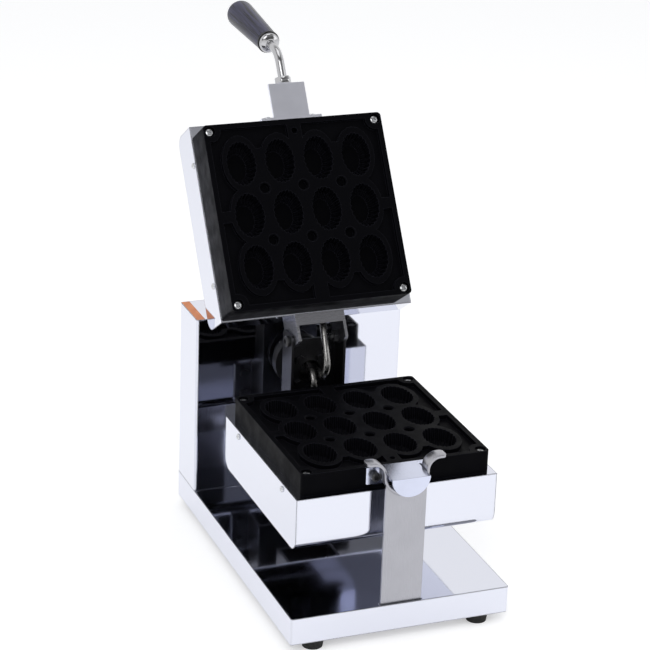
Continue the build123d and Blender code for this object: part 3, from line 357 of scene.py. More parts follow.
def range_node(tree, value, start, end, low, high, shape="LINEAR"):
    """A Map Range node that carries start to end over to low to high."""
    node = tree.nodes.new("ShaderNodeMapRange")
    node.interpolation_type = shape
    for name, number in (("From Min", start), ("From Max", end), ("To Min", low), ("To Max", high)):
        node.inputs[name].default_value = number
    tree.links.new(value, node.inputs["Value"])
    return node.outputs["Result"]


def shade(colour, factor, lift=0.0):
    """A lighter or darker shade of a colour."""
    return [min(1.0, part * factor + lift) for part in colour]


class Recipe:
    """A node material whose pattern reads object coordinates."""

    def __init__(self, name, colour, metallic, roughness, specular=0.5):
        self.material = bpy.data.materials.new(name)
        self.material.use_nodes = True
        self.tree = self.material.node_tree
        self.tree.nodes.clear()
        self.output = self.tree.nodes.new("ShaderNodeOutputMaterial")
        self.skin = self.tree.nodes.new("ShaderNodeBsdfPrincipled")
        self.link(self.skin.outputs["BSDF"], self.output.inputs["Surface"])
        self.skin.inputs["Base Color"].default_value = (*colour, 1)
        self.skin.inputs["Metallic"].default_value = metallic
        self.skin.inputs["Roughness"].default_value = roughness
        self.skin.inputs["Specular IOR Level"].default_value = specular
        self.place = self.tree.nodes.new("ShaderNodeTexCoord").outputs["Object"]
        self.normal = None

    def link(self, output, socket):
        self.tree.links.new(output, socket)

    def stretched(self, scale):
        """Object coordinates drawn finer or coarser along each axis."""
        node = self.tree.nodes.new("ShaderNodeMapping")
        node.inputs["Scale"].default_value = scale
        self.link(self.place, node.inputs["Vector"])
        return node.outputs["Vector"]

    def noise(self, scale, detail=3.0, rough=0.55, place=None):
        """A cloudy pattern about the middle grey."""
        node = self.tree.nodes.new("ShaderNodeTexNoise")
        node.inputs["Scale"].default_value = scale
        node.inputs["Detail"].default_value = detail
        node.inputs["Roughness"].default_value = rough
        self.link(place or self.place, node.inputs["Vector"])
        return node.outputs["Fac"]

    def between(self, value, low, high, start=0.3, end=0.7):
        """Spreads a pattern's usual range over two numbers."""
        return range_node(self.tree, value, start, end, low, high)

    def mix(self, share):
        """A colour mix, whose sockets A and B are still to be filled."""
        node = self.tree.nodes.new("ShaderNodeMix")
        node.data_type = "RGBA"
        self.link(share, node.inputs["Factor"])
        return node

    def colour_between(self, pattern, first, second, start=0.3, end=0.7):
        """Lets the colour follow a pattern between two colours."""
        node = self.mix(self.between(pattern, 0.0, 1.0, start, end))
        node.inputs["A"].default_value = (*first, 1)
        node.inputs["B"].default_value = (*second, 1)
        self.link(node.outputs["Result"], self.skin.inputs["Base Color"])

    def rough_between(self, pattern, low, high):
        """Lets the roughness follow a pattern between two numbers."""
        self.link(self.between(pattern, low, high), self.skin.inputs["Roughness"])

    def paint_edge_reflection(self, radius, colour):
        """Paints a colour along the edges, where easing bends the normal away from the face's: a painted
        reflection, dark on the polished sheet and lighter on the coat.
        """
        face = self.tree.nodes.new("ShaderNodeNewGeometry")
        match = self.tree.nodes.new("ShaderNodeVectorMath")
        match.operation = "DOT_PRODUCT"
        self.link(self.eased(radius), match.inputs[0])
        self.link(face.outputs["Normal"], match.inputs[1])
        node = self.mix(self.between(match.outputs["Value"], 1.0, 0.0, *EDGE_MATCH))
        node.inputs["B"].default_value = (*colour, 1)
        socket = self.skin.inputs["Base Color"]
        if socket.links:
            self.link(socket.links[0].from_socket, node.inputs["A"])
        else:
            node.inputs["A"].default_value = socket.default_value[:]
        self.link(node.outputs["Result"], socket)

    def eased(self, radius):
        """The normal of the skin if its sharp edges were rounded."""
        node = self.tree.nodes.new("ShaderNodeBevel")
        node.samples = EDGE_SAMPLES
        node.inputs["Radius"].default_value = radius
        return node.outputs["Normal"]

    def set_normal(self, normal):
        """Lights the skin by a normal, over which the next bump is pressed."""
        self.normal = normal
        self.link(normal, self.skin.inputs["Normal"])

    def ease_edges(self, radius):
        """Lets sharp edges catch the light as if they were rounded."""
        self.set_normal(self.eased(radius))

    def bump(self, pattern, strength, depth):
        """Presses a pattern into the skin, over the eased edges where there are any."""
        node = self.tree.nodes.new("ShaderNodeBump")
        node.inputs["Strength"].default_value = strength
        node.inputs["Distance"].default_value = depth
        self.link(pattern, node.inputs["Height"])
        if self.normal:
            self.link(self.normal, node.inputs["Normal"])
        self.set_normal(node.outputs["Normal"])


def polished_sheet():
    """Mirror-polished stainless sheet with the slow waves of a bent panel, and painted dark reflection lines
    at its bends.
    """
    look = bpy.context.scene.iron_metal
    polish = look.polished_roughness
    recipe = Recipe("polished_sheet", look.polished_colour, 1.0, polish)
    smears = recipe.noise(14.0, 5.0, place=recipe.stretched((1.0, 1.0, 2.4)))
    recipe.rough_between(smears, polish * 0.6, polish * 1.6)
    # Painted dark reflection along the sheet's bends.
    recipe.paint_edge_reflection(look.bend_radius, look.painted_bend_reflection)
    recipe.ease_edges(look.bend_radius)
    recipe.bump(recipe.noise(9.0, 1.0), look.waviness, 0.004)
    return recipe.material


# How finely a brushed strip's noise is drawn along x, y and z. Its lines run where it is drawn coarse.
FINE, COARSE = 2600.0, 26.0
LINES_ACROSS = (COARSE, FINE, FINE)
LINES_BACK = (FINE, COARSE, FINE)
LINES_UP = (FINE, FINE, COARSE)


def brushed_strip(name, lines_run, colour, roughness):
    """Brushed stainless strip, with faint clouds over its lines."""
    recipe = Recipe(name, colour, 1.0, roughness)
    lines = recipe.noise(1.0, 4.0, 0.65, place=recipe.stretched(lines_run))
    recipe.colour_between(recipe.noise(34.0, 3.0), shade(colour, 0.93), colour)
    recipe.rough_between(lines, roughness * 0.8, roughness * 1.2)
    recipe.ease_edges(0.0006)
    recipe.bump(lines, 0.1, 0.00003)
    return recipe.material


def black_coat():
    """Black non-stick coat on a casting: near black, with a fine orange peel, soft edges and painted
    highlights along the edges.
    """
    look = bpy.context.scene.iron_plates
    recipe = Recipe("black_coat", look.coat_colour, 0.0, look.coat_roughness, look.coat_shine)
    speckle = recipe.noise(2600.0, 2.0)
    recipe.colour_between(speckle, look.coat_colour, shade(look.coat_colour, 1.9), 0.45, 0.8)
    # Painted highlight along the casting's edges.
    recipe.paint_edge_reflection(look.edge_radius, look.painted_edge_highlight)
    recipe.rough_between(recipe.noise(60.0, 4.0), look.coat_roughness * 0.85, look.coat_roughness * 1.2)
    recipe.ease_edges(look.edge_radius)
    recipe.bump(recipe.noise(1400.0, 2.0), 0.2, 0.00006)
    return recipe.material


def plated(name, colour, roughness):
    """Bright plating on a small part."""
    recipe = Recipe(name, colour, 1.0, roughness)
    recipe.rough_between(recipe.noise(220.0, 4.0), roughness * 0.6, roughness * 1.7)
    recipe.ease_edges(0.0003)
    return recipe.material


def zinc_plate():
    """Zinc on screws and nuts, in faint patches."""
    recipe = Recipe("zinc_plate", (0.66, 0.67, 0.69), 1.0, 0.26)
    patches = recipe.noise(700.0, 4.0)
    recipe.colour_between(patches, (0.56, 0.57, 0.60), (0.74, 0.75, 0.76))
    recipe.rough_between(patches, 0.18, 0.36)
    return recipe.material


def turned_steel():
    """Steel with the fine rings of a lathe tool."""
    recipe = Recipe("turned_steel", (0.55, 0.56, 0.58), 1.0, 0.24)
    rings = recipe.noise(1.0, 3.0, place=recipe.stretched((60.0, 5200.0, 60.0)))
    recipe.rough_between(rings, 0.16, 0.34)
    recipe.bump(rings, 0.3, 0.00003)
    return recipe.material


def cast_grey():
    """The dark skin of cast iron."""
    recipe = Recipe("cast_grey", (0.024, 0.024, 0.027), 0.6, 0.55)
    skin = recipe.noise(900.0, 5.0)
    recipe.rough_between(skin, 0.38, 0.6)
    recipe.bump(skin, 0.5, 0.0001)
    return recipe.material


def sintered_bronze():
    """Porous bronze of the bearing's bush."""
    recipe = Recipe("sintered_bronze", (0.55, 0.36, 0.17), 1.0, 0.34)
    pores = recipe.noise(3000.0, 3.0)
    recipe.colour_between(pores, (0.42, 0.27, 0.12), (0.62, 0.42, 0.20))
    return recipe.material


def tinted_sheath():
    """The heating element's sheath, straw and blue from its first heats."""
    recipe = Recipe("tinted_sheath", (0.24, 0.21, 0.19), 1.0, 0.4)
    heat = recipe.noise(26.0, 2.0)
    recipe.colour_between(heat, (0.34, 0.27, 0.18), (0.16, 0.17, 0.22))
    return recipe.material


def wool_blanket():
    """Off-white mineral wool."""
    recipe = Recipe("wool_blanket", (0.74, 0.71, 0.64), 0.0, 0.95, 0.1)
    fibres = recipe.noise(1.0, 6.0, 0.7, place=recipe.stretched((420.0, 900.0, 260.0)))
    recipe.colour_between(fibres, (0.60, 0.57, 0.50), (0.82, 0.80, 0.74))
    recipe.bump(fibres, 0.8, 0.0008)
    return recipe.material


def dark_moulding(name, colour, roughness, grain_depth=0.00004, shine=0.4):
    """Dark plastic or blackened steel with a fine grain."""
    recipe = Recipe(name, colour, 0.0, roughness, shine)
    grain = recipe.noise(2200.0, 3.0)
    clouds = recipe.noise(120.0, 3.0)
    recipe.colour_between(clouds, colour, shade(colour, 1.35, 0.002))
    recipe.rough_between(grain, roughness * 0.85, roughness * 1.15)
    recipe.ease_edges(0.0004)
    recipe.bump(grain, 0.3, grain_depth)
    return recipe.material


def grip_skin():
    """Dark blue-grey grip with long painted highlight streaks along it."""
    look = bpy.context.scene.iron_handle
    recipe = Recipe("grip_skin", look.grip_colour, 0.0, look.grip_roughness, 0.22)
    along_grip = recipe.tree.nodes.new("ShaderNodeMapping")
    along_grip.vector_type = "TEXTURE"
    tilt = math.pi / 2 - math.radians(look.rod_bend) - OPEN_ANGLE
    along_grip.inputs["Rotation"].default_value = (tilt, 0, 0)
    along_grip.inputs["Scale"].default_value = (0.0032, 0.0032, 0.12)
    recipe.link(recipe.place, along_grip.inputs["Vector"])
    # Long streaks along the grip: painted highlights in the colour, and a change of roughness.
    painted_highlight_streaks = recipe.noise(1.0, 4.0, 0.6, place=along_grip.outputs["Vector"])
    recipe.colour_between(painted_highlight_streaks, look.grip_colour, look.painted_highlight_colour, 0.4, 0.72)
    recipe.rough_between(painted_highlight_streaks, look.grip_roughness * 0.8, look.grip_roughness * 1.25)
    recipe.bump(recipe.noise(1800.0, 2.0), 0.15, 0.00004)
    return recipe.material


def foot_rubber():
    """Black rubber with a little dust on it."""
    recipe = Recipe("foot_rubber", (0.014, 0.014, 0.014), 0.0, 0.75, 0.3)
    dust = recipe.noise(300.0, 5.0)
    recipe.colour_between(dust, (0.012, 0.012, 0.012), (0.035, 0.034, 0.032), 0.45, 0.8)
    recipe.bump(dust, 0.4, 0.00008)
    return recipe.material


def red_lens():
    """The pilot lamp's ribbed red lens."""
    recipe = Recipe("red_lens", (0.62, 0.03, 0.02), 0.0, 0.08, 0.6)
    ribs = recipe.noise(1.0, 1.0, place=recipe.stretched((900.0, 900.0, 20.0)))
    recipe.colour_between(ribs, (0.45, 0.02, 0.012), (0.75, 0.05, 0.03))
    recipe.skin.inputs["Coat Weight"].default_value = 0.6
    return recipe.material


def orange_film():
    """The worn orange tape on the column."""
    recipe = Recipe("orange_film", (0.80, 0.24, 0.055), 0.0, 0.42, 0.4)
    wear = recipe.noise(70.0, 5.0)
    recipe.colour_between(wear, (0.66, 0.19, 0.05), (0.86, 0.30, 0.10))
    recipe.bump(recipe.noise(400.0, 2.0), 0.1, 0.00005)
    return recipe.material


def white_ink():
    """The white print of the knobs' lines and the rocker's marks."""
    recipe = Recipe("white_ink", (0.78, 0.78, 0.76), 0.0, 0.55, 0.3)
    recipe.colour_between(recipe.noise(900.0), (0.68, 0.68, 0.66), (0.84, 0.84, 0.82))
    return recipe.material


def black_ink():
    """The black print of the knobs' scales."""
    recipe = Recipe("black_ink", (0.015, 0.015, 0.016), 0.0, 0.5, 0.3)
    recipe.rough_between(recipe.noise(900.0), 0.4, 0.6)
    return recipe.material


def brushed(name, lines_run):
    """The brushed strip of the upright, the cradle and the bottom plate."""
    look = bpy.context.scene.iron_metal
    return brushed_strip(name, lines_run, look.brushed_colour, look.brushed_roughness)


def satin():
    """The smoother strip of the lower tongue."""
    look = bpy.context.scene.iron_metal
    return brushed_strip("satin", LINES_BACK, look.satin_colour, look.satin_roughness)


MAKERS = {
    "polished": polished_sheet,
    "brushed_up": lambda: brushed("brushed_up", LINES_UP),
    "brushed_back": lambda: brushed("brushed_along", LINES_BACK),
    "satin": satin,
    # The upper tongue's satin is a lighter copy of the strip, with light painted into its colour.
    "satin_painted_light": lambda: brushed_strip("satin_painted_light", LINES_BACK, (0.86, 0.87, 0.96), 0.36),
    "bracket": lambda: brushed_strip("bracket_satin", LINES_ACROSS, (0.34, 0.34, 0.37), 0.28),
    # Steel painted dark, as painted shade on the yoke, its bolts, the iron bolts and the shaft.
    "steel_painted_shade": lambda: brushed_strip("steel_painted_shade", LINES_UP, (0.085, 0.085, 0.092), 0.32),
    "coat": black_coat,
    "chrome": lambda: plated("bright_chrome", bpy.context.scene.iron_metal.chrome_colour, 0.11),
    "nickel": lambda: plated("satin_nickel", (0.26, 0.255, 0.25), 0.26),
    "zinc": zinc_plate,
    "turned": turned_steel,
    "cast": cast_grey,
    "bronze": sintered_bronze,
    "sheath": tinted_sheath,
    "wool": wool_blanket,
    "oxide": lambda: dark_moulding("black_oxide", (0.012, 0.012, 0.014), 0.32, 0.00002, 0.7),
    "plastic": lambda: dark_moulding("black_plastic", (0.014, 0.014, 0.016), 0.42),
    "ring": lambda: dark_moulding("ring_plastic", (0.008, 0.008, 0.009), 0.3),
    "rubber": foot_rubber,
    "lens": red_lens,
    "grip": grip_skin,
    "film": orange_film,
    "white": white_ink,
    "black": black_ink,
}
FINISHES = {}


def finish(name):
    """Each finish is made once and shared by the pieces that have it."""
    if name not in FINISHES:
        FINISHES[name] = MAKERS[name]()
    return FINISHES[name]


# The finish of each of the frame's materials, and of the solids that differ from theirs.
SLOT_FINISH = {
    "polished_stainless": "polished",
    "brushed_stainless": "brushed_up",
    "zinc_plated_steel": "zinc",
    "turned_steel": "turned",
    "bearing_iron": "cast",
    "bronze": "bronze",
    "coated_plate": "coat",
    "element_steel": "sheath",
    "mineral_wool": "wool",
    "foot_rubber": "rubber",
    "control_plastic": "plastic",
    "lamp_lens": "lens",
    "chrome_trim": "chrome",
    "grip_plastic": "grip",
}
NODE_FINISH = {
    "base_bottom_plate": "brushed_back",
    "cradle": "brushed_back",
    "lower_tongue": "satin",
    # The upper tongue takes the satin copy with light painted into its colour.
    "upper_tongue": "satin_painted_light",
    "hinge_bracket": "bracket",
    # These steel parts are painted dark for the shade they sit in.
    "yoke": "steel_painted_shade",
    "yoke_bolts": "steel_painted_shade",
    "iron_bolts": "steel_painted_shade",
    "spin_shaft": "steel_painted_shade",
    "pivot_bolts": "oxide",
    "lower_conduit": "nickel",
    "upper_conduit": "nickel",
    "lower_gland": "nickel",
    "upper_gland": "nickel",
}


# Small parts

def cross_screw(head_width, head_height, shank_width, shank_length, nut_width, nut_height, nut_drop):
    """A pan-head cross-recess screw that points along +Z, with its nut on the shank."""
    radius = head_width / 2
    pan = [(0, 0), (0.96, 0), (1, 0.25), (0.93, 0.62), (0.72, 0.9), (0.4, 1), (0, 1)]
    head = lathe([(radius * across, head_height * up) for across, up in pan], 40)
    wing = head_width * 0.29
    narrow = head_width * 0.055
    for half_x, half_y in ((wing, narrow), (narrow, wing)):
        arm = slab((-half_x, -half_y, head_height * 0.35), (half_x, half_y, head_height * 1.5))
        floor = [vert for vert in arm.verts if vert.co.z < head_height]
        bmesh.ops.scale(arm, vec=(0.7, 0.7, 1.0), verts=floor)
        head = cut(head, arm)
    shank = bmesh.new()
    bmesh.ops.create_cone(shank, cap_ends=True, segments=16, radius1=shank_width / 2, radius2=shank_width / 2,
                          depth=shank_length, matrix=Matrix.Translation((0, 0, -shank_length / 2)))
    nut = copied(hexagon(nut_width, nut_height), Matrix.Translation((0, 0, -nut_drop - nut_height)))
    return join(head, shank, nut)


def socket_screw(head_height, shank_length):
    """A socket-head screw that points along +Z."""
    head = lathe([(0, 0), (0.0047, 0), (0.005, 0.0003), (0.005, head_height - 0.0008),
                  (0.0042, head_height), (0, head_height)], 40)
    socket = copied(hexagon(0.005, 0.004), Matrix.Translation((0, 0, head_height / 2)))
    shank = lathe([(0, -shank_length), (0.0027, -shank_length), (0.003, 0.0005 - shank_length),
                   (0.003, 0.0006), (0, 0.0006)], 24)
    return join(cut(head, socket), shank)


# Sizes and colours that can be changed

class IronMetal(bpy.types.PropertyGroup):
    polished_colour: FloatVectorProperty(name="Polished sheet", description="Colour of the polished sheet",
                                         subtype="COLOR", default=(0.73, 0.745, 0.825), min=0, max=1)
    polished_roughness: FloatProperty(name="Polish", description="Roughness of the polished sheet",
                                      default=0.05, min=0, max=1)
    waviness: FloatProperty(name="Waves", description="How far the sheet's slow waves bend its reflections",
                            default=0.06, min=0, max=1)
    bend_radius: FloatProperty(name="Bend radius", description="Radius that the sheet's sharp bends show",
                               default=0.0020, min=0, max=0.01, unit="LENGTH")
    # The bend line is a painted dark reflection, not the sheet's own colour.
    painted_bend_reflection: FloatVectorProperty(name="Bend colour", description="Colour of the line along a sharp bend",
                                     subtype="COLOR", default=(0.035, 0.035, 0.042), min=0, max=1)
    brushed_colour: FloatVectorProperty(name="Brushed strip", description="Colour of the brushed strips",
                                        subtype="COLOR", default=(0.42, 0.42, 0.455), min=0, max=1)
    satin_colour: FloatVectorProperty(name="Satin strip", description="Colour of the lower satin tongue",
                                      subtype="COLOR", default=(0.63, 0.66, 0.80), min=0, max=1)
    satin_roughness: FloatProperty(name="Satin", description="Roughness of the lower satin tongue",
                                   default=0.16, min=0, max=1)
    brushed_roughness: FloatProperty(name="Brushing", description="Roughness of the brushed strips",
                                     default=0.30, min=0, max=1)
    chrome_colour: FloatVectorProperty(name="Chrome", description="Colour of the handle's chrome",
                                       subtype="COLOR", default=(0.50, 0.50, 0.515), min=0, max=1)


class IronPlates(bpy.types.PropertyGroup):
    coat_colour: FloatVectorProperty(name="Coat", description="Colour of the non-stick coat",
                                     subtype="COLOR", default=(0.0016, 0.0016, 0.0024), min=0, max=1)
    coat_roughness: FloatProperty(name="Coat roughness", description="Roughness of the non-stick coat",
                                  default=0.5, min=0, max=1)
    coat_shine: FloatProperty(name="Coat shine", description="Strength of the coat's reflections",
                              default=0.03, min=0, max=1)
    # The coat's lighter edges are a painted highlight.
    painted_edge_highlight: FloatVectorProperty(name="Edge colour", description="Colour of the coat's lighter edges",
                                     subtype="COLOR", default=(0.022, 0.022, 0.030), min=0, max=1)
    edge_radius: FloatProperty(name="Edge radius",
                               description="How softly the casting's edges catch the light",
                               default=0.0007, min=0, max=0.005, unit="LENGTH")
    screw_head: FloatProperty(name="Screw head", description="Diameter of the corner screws' heads",
                              default=0.0112, min=0.004, max=0.02, unit="LENGTH")
    side_screw_head: FloatProperty(name="Side screw head", description="Diameter of the side screws' heads",
                                   default=0.007, min=0.003, max=0.012, unit="LENGTH")


class IronHandle(bpy.types.PropertyGroup):
    rod_diameter: FloatProperty(name="Rod", description="Diameter of the bent rod", default=0.010,
                                min=0.004, max=0.02, unit="LENGTH")
    rod_bend: FloatProperty(name="Rod bend", description="Angle by which the rod is bent, in degrees",
                            default=52.0, min=0, max=90)
    grip_diameter: FloatProperty(name="Grip", description="Grip diameter beside the ring", default=0.0256,
                                 min=0.01, max=0.05, unit="LENGTH")
    grip_end_diameter: FloatProperty(name="Grip end", description="Grip diameter near its free end",
                                     default=0.0325, min=0.01, max=0.06, unit="LENGTH")
    grip_round: FloatProperty(name="Grip rounding", description="Rounding of the grip's free end",
                              default=0.011, min=0.002, max=0.03, unit="LENGTH")
    grip_length: FloatProperty(name="Grip length", description="Length of the grip", default=0.106,
                               min=0.05, max=0.2, unit="LENGTH")
    grip_colour: FloatVectorProperty(name="Grip colour", description="Colour of the grip", subtype="COLOR",
                                     default=(0.008, 0.008, 0.017), min=0, max=1)
    # The grip's streaks are painted highlights.
    painted_highlight_colour: FloatVectorProperty(name="Streak colour", description="Colour of the grip's streaks",
                                       subtype="COLOR", default=(0.072, 0.072, 0.145), min=0, max=1)
    grip_roughness: FloatProperty(name="Grip roughness", description="Roughness of the grip", default=0.29,
                                  min=0, max=1)


class IronControls(bpy.types.PropertyGroup):
    knob_skirt: FloatProperty(name="Knob skirt", description="Diameter of the knobs' skirts", default=0.034,
                              min=0.02, max=0.06, unit="LENGTH")
    knob_grip: FloatProperty(name="Knob grip", description="Diameter of the knobs' grips", default=0.025,
                             min=0.015, max=0.05, unit="LENGTH")
    tape_width: FloatProperty(name="Tape width", description="Width of the plain tape on the column",
                              default=0.0095, min=0.002, max=0.03, unit="LENGTH")


class IronStage(bpy.types.PropertyGroup):
    floor_size: FloatProperty(name="Floor", description="Length of the floor's side", default=14.0, min=2,
                              max=40, unit="LENGTH")
    floor_colour: FloatVectorProperty(name="Floor colour", description="Colour of the floor", subtype="COLOR",
                                      default=(0.86, 0.86, 0.86), min=0, max=1)
    floor_glow: FloatProperty(name="Floor glow", description="Lifts the floor to white in the picture and in "
                              "reflections", default=0.37, min=0, max=1)
    front_shade: FloatProperty(name="Front shade", description="How much darker metal shows the room high "
                               "behind the camera", default=0.62, min=0, max=1)
    low_shade: FloatProperty(name="Low front shade", description="How much darker metal shows the room "
                             "at the camera's height, behind it", default=0.88, min=0, max=1)
    daylight: FloatProperty(name="Room light", description="Strength of the light from all round",
                            default=0.62, min=0, max=3)
    key_power: FloatProperty(name="Key lamp", description="Power of the large lamp at the front left",
                             default=26.0, min=0, max=500, subtype="POWER")
    fill_power: FloatProperty(name="Fill lamp", description="Power of the lamp at the right", default=10.0,
                              min=0, max=500, subtype="POWER")
    camera_focal: FloatProperty(name="Focal length", description="In pixels of a 650 pixel wide picture",
                                default=2412.9, min=500, max=6000)
    camera_azimuth: FloatProperty(name="Azimuth", description="Camera azimuth in degrees", default=-21.817)
    camera_elevation: FloatProperty(name="Elevation", description="Camera elevation in degrees",
                                    default=21.642)
    camera_roll: FloatProperty(name="Roll", description="Camera roll in degrees", default=2.105)
    camera_place: FloatVectorProperty(name="Place", description="Camera place in machine millimetres",
                                      default=(-929.17, -2072.80, 1255.66), size=3)


# Operators

class IRON_OT_metal_finishes(bpy.types.Operator):
    """Gives every solid of the frame the finish of its material"""
    bl_idname = "cake_iron.metal_finishes"
    bl_label = "Finish the solids"

    def execute(self, context):
        for name, node in frame["nodes"].items():
            look = finish(NODE_FINISH.get(name, SLOT_FINISH[SLOT_OF[name]]))
            node.data.shade_smooth()
            if node.material_slots:
                for slot in node.material_slots:
                    slot.material = look
            else:
                node.data.materials.append(look)
        return {"FINISHED"}


class IRON_OT_plate_screws(bpy.types.Operator):
    """Puts the bright cross-recess screws in the corners of both mould plates"""
    bl_idname = "cake_iron.plate_screws"
    bl_label = "Plate screws"

    def execute(self, context):
        seat = SPIN_Z - HALF_PLATE_GAP - COUNTERBORE
        corners = [machine(x, y, seat) for x in PLATE_SCREW_X for y in PLATE_SCREW_Y]
        places = [Matrix.Translation(corner) @ Matrix.Rotation(math.radians(20 + 37 * index), 4, "Z")
                  for index, corner in enumerate(corners)]
        for side, body, turn in both_irons():
            screw = cross_screw(context.scene.iron_plates.screw_head, head_height=0.0036,
                                shank_width=0.005, shank_length=0.0262,
                                nut_width=0.008, nut_height=0.004, nut_drop=0.0207)
            node = f"{side}_plate_screws"
            screws = repeated(screw, [turn @ place for place in places])
            add_piece(screws, f"{node}_cross", body, finish("zinc"), [node])
        return {"FINISHED"}


class IRON_OT_side_screws(bpy.types.Operator):
    """Puts the small screws in the sides of both housings"""
    bl_idname = "cake_iron.side_screws"
    bl_label = "Side screws"

    def execute(self, context):
        half_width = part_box("lower_housing")[1].x
        height = SPIN_Z - HALF_PLATE_GAP - PLATE_HEIGHT - SIDE_SCREW_DROP
        places = []
        for side in (-1, 1):
            for index, y in enumerate(SIDE_SCREW_Y):
                place = machine(0, y, height)
                place.x = side * half_width
                places.append(stand_on(place, (side, 0, 0)) @ Matrix.Rotation(0.6 + index, 4, "Z"))
        for side, body, turn in both_irons():
            screw = cross_screw(context.scene.iron_plates.side_screw_head, head_height=0.002,
                                shank_width=0.004, shank_length=0.006,
                                nut_width=0.007, nut_height=0.003, nut_drop=0.0012)
            node = f"{side}_side_screws"
            screws = repeated(screw, [turn @ place for place in places])
            add_piece(screws, f"{node}_cross", body, finish("zinc"), [node])
        return {"FINISHED"}


class IRON_OT_tongue_screws(bpy.types.Operator):
    """Puts black socket-head screws in the lower tongue's flange and low bright ones in the upper's"""
    bl_idname = "cake_iron.tongue_screws"
    bl_label = "Tongue screws"

    def execute(self, context):
        shank_length = 0.015
        looks = {"lower": (0.006, "oxide"), "upper": (0.0026, "zinc")}
        places = []
        for x in TONGUE_SCREW_X:
            place = machine(x, 0, SPIN_Z - TONGUE_SCREW_DROP)
            place.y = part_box("lower_tongue_screws")[1].y - shank_length
            places.append(stand_on(place, FORWARD))
        for side, body, turn in both_irons():
            head_height, skin = looks[side]
            node = f"{side}_tongue_screws"
            screws = repeated(socket_screw(head_height, shank_length), [turn @ place for place in places])
            add_piece(screws, f"{node}_socket", body, finish(skin), [node])
        return {"FINISHED"}


class IRON_OT_handle(bpy.types.Operator):
    """Bends the chrome rod and puts the nut, ferrule, ring and grip on it"""
    bl_idname = "cake_iron.handle"
    bl_label = "Handle"

    def execute(self, context):
        size = context.scene.iron_handle
        rod_z = SPIN_Z + 9.3
        nut_y = -12
        opened = opening_turn()
        bend, heading = self.bend_rod(size, rod_z, opened)
        nut_turn = opened @ stand_on(machine(0, nut_y, rod_z), FORWARD) @ Matrix.Rotation(math.pi / 6, 4, "Z")
        nut = copied(hexagon(0.017, 0.009, 0.0008), nut_turn)
        add_piece(nut, "handle_nut_bright", "lid", finish("chrome"), ["handle_nut"])
        for node, name, skin, outline, distance in (
                ("handle_ferrule", "handle_ferrule_bright", "chrome", self.ferrule(size), 0.011),
                ("handle_ring", "handle_ring_black", "ring", self.ring(size), 0.018),
                ("handle_grip", "handle_grip_smooth", "grip", self.grip(size), 0.021)):
            turned = copied(lathe(outline, 64), opened @ stand_on(bend + heading * distance, heading))
            add_piece(turned, name, "lid", finish(skin), [node])
        return {"FINISHED"}

    def bend_rod(self, size, rod_z, opened):
        """Draws the rod, and gives the place and heading after its bend."""
        inner_end_y, level, radius, sloping = -9, 0.029, 0.028, 0.081
        pipe = Pipe(machine(0, inner_end_y, rod_z), FORWARD, size.rod_diameter, 32)
        pipe.run(level).bend(radius, -math.radians(size.rod_bend), ACROSS, 16)
        bend, heading = pipe.place.copy(), pipe.heading.copy()
        pipe.run(sloping)
        add_piece(copied(pipe.close(), opened), "handle_rod_bright", "lid", finish("chrome"), ["handle_rod"])
        return bend, heading

    def ferrule(self, size):
        """Outline of the domed collar that meets the ring."""
        bore = size.rod_diameter / 2
        rim = size.grip_diameter / 2 - 0.001
        height = 0.007
        return [(bore, 0), (bore + 0.0009, 0), (bore + 0.0019, 0.0004), (rim - 0.0022, 0.0017),
                (rim - 0.0008, 0.0026), (rim, 0.0041), (rim, height), (bore, height), (bore, 0)]

    def ring(self, size):
        """Outline of the black ring, with eased edges."""
        bore = size.rod_diameter / 2
        edge = size.grip_diameter / 2 + 0.0004
        height, ease = 0.003, 0.0007
        return [(bore, 0), (edge - ease, 0), (edge, ease), (edge, height - ease), (edge - ease, height),
                (bore, height), (bore, 0)]

    def grip(self, size):
        """Outline of the grip: a blind bore for the rod, a widening side and a rounded end."""
        bore, bore_depth = size.rod_diameter / 2, 0.0605
        narrow, wide = size.grip_diameter / 2, size.grip_end_diameter / 2
        rounding = size.grip_round
        shoulder = size.grip_length - rounding
        ease = 0.0006
        outline = [(0, bore_depth), (bore, bore_depth), (bore, 0), (narrow - ease, 0), (narrow, ease)]
        outline += [(narrow + (wide - narrow) * share, shoulder * share)
                    for share in (0.15, 0.35, 0.55, 0.75, 0.9, 1.0)]
        for step in range(1, 10):
            angle = math.radians(10 * step)
            across, up = rounding * math.cos(angle), rounding * math.sin(angle)
            outline.append((wide - rounding + across, shoulder + up))
        return outline + [(0, size.grip_length)]


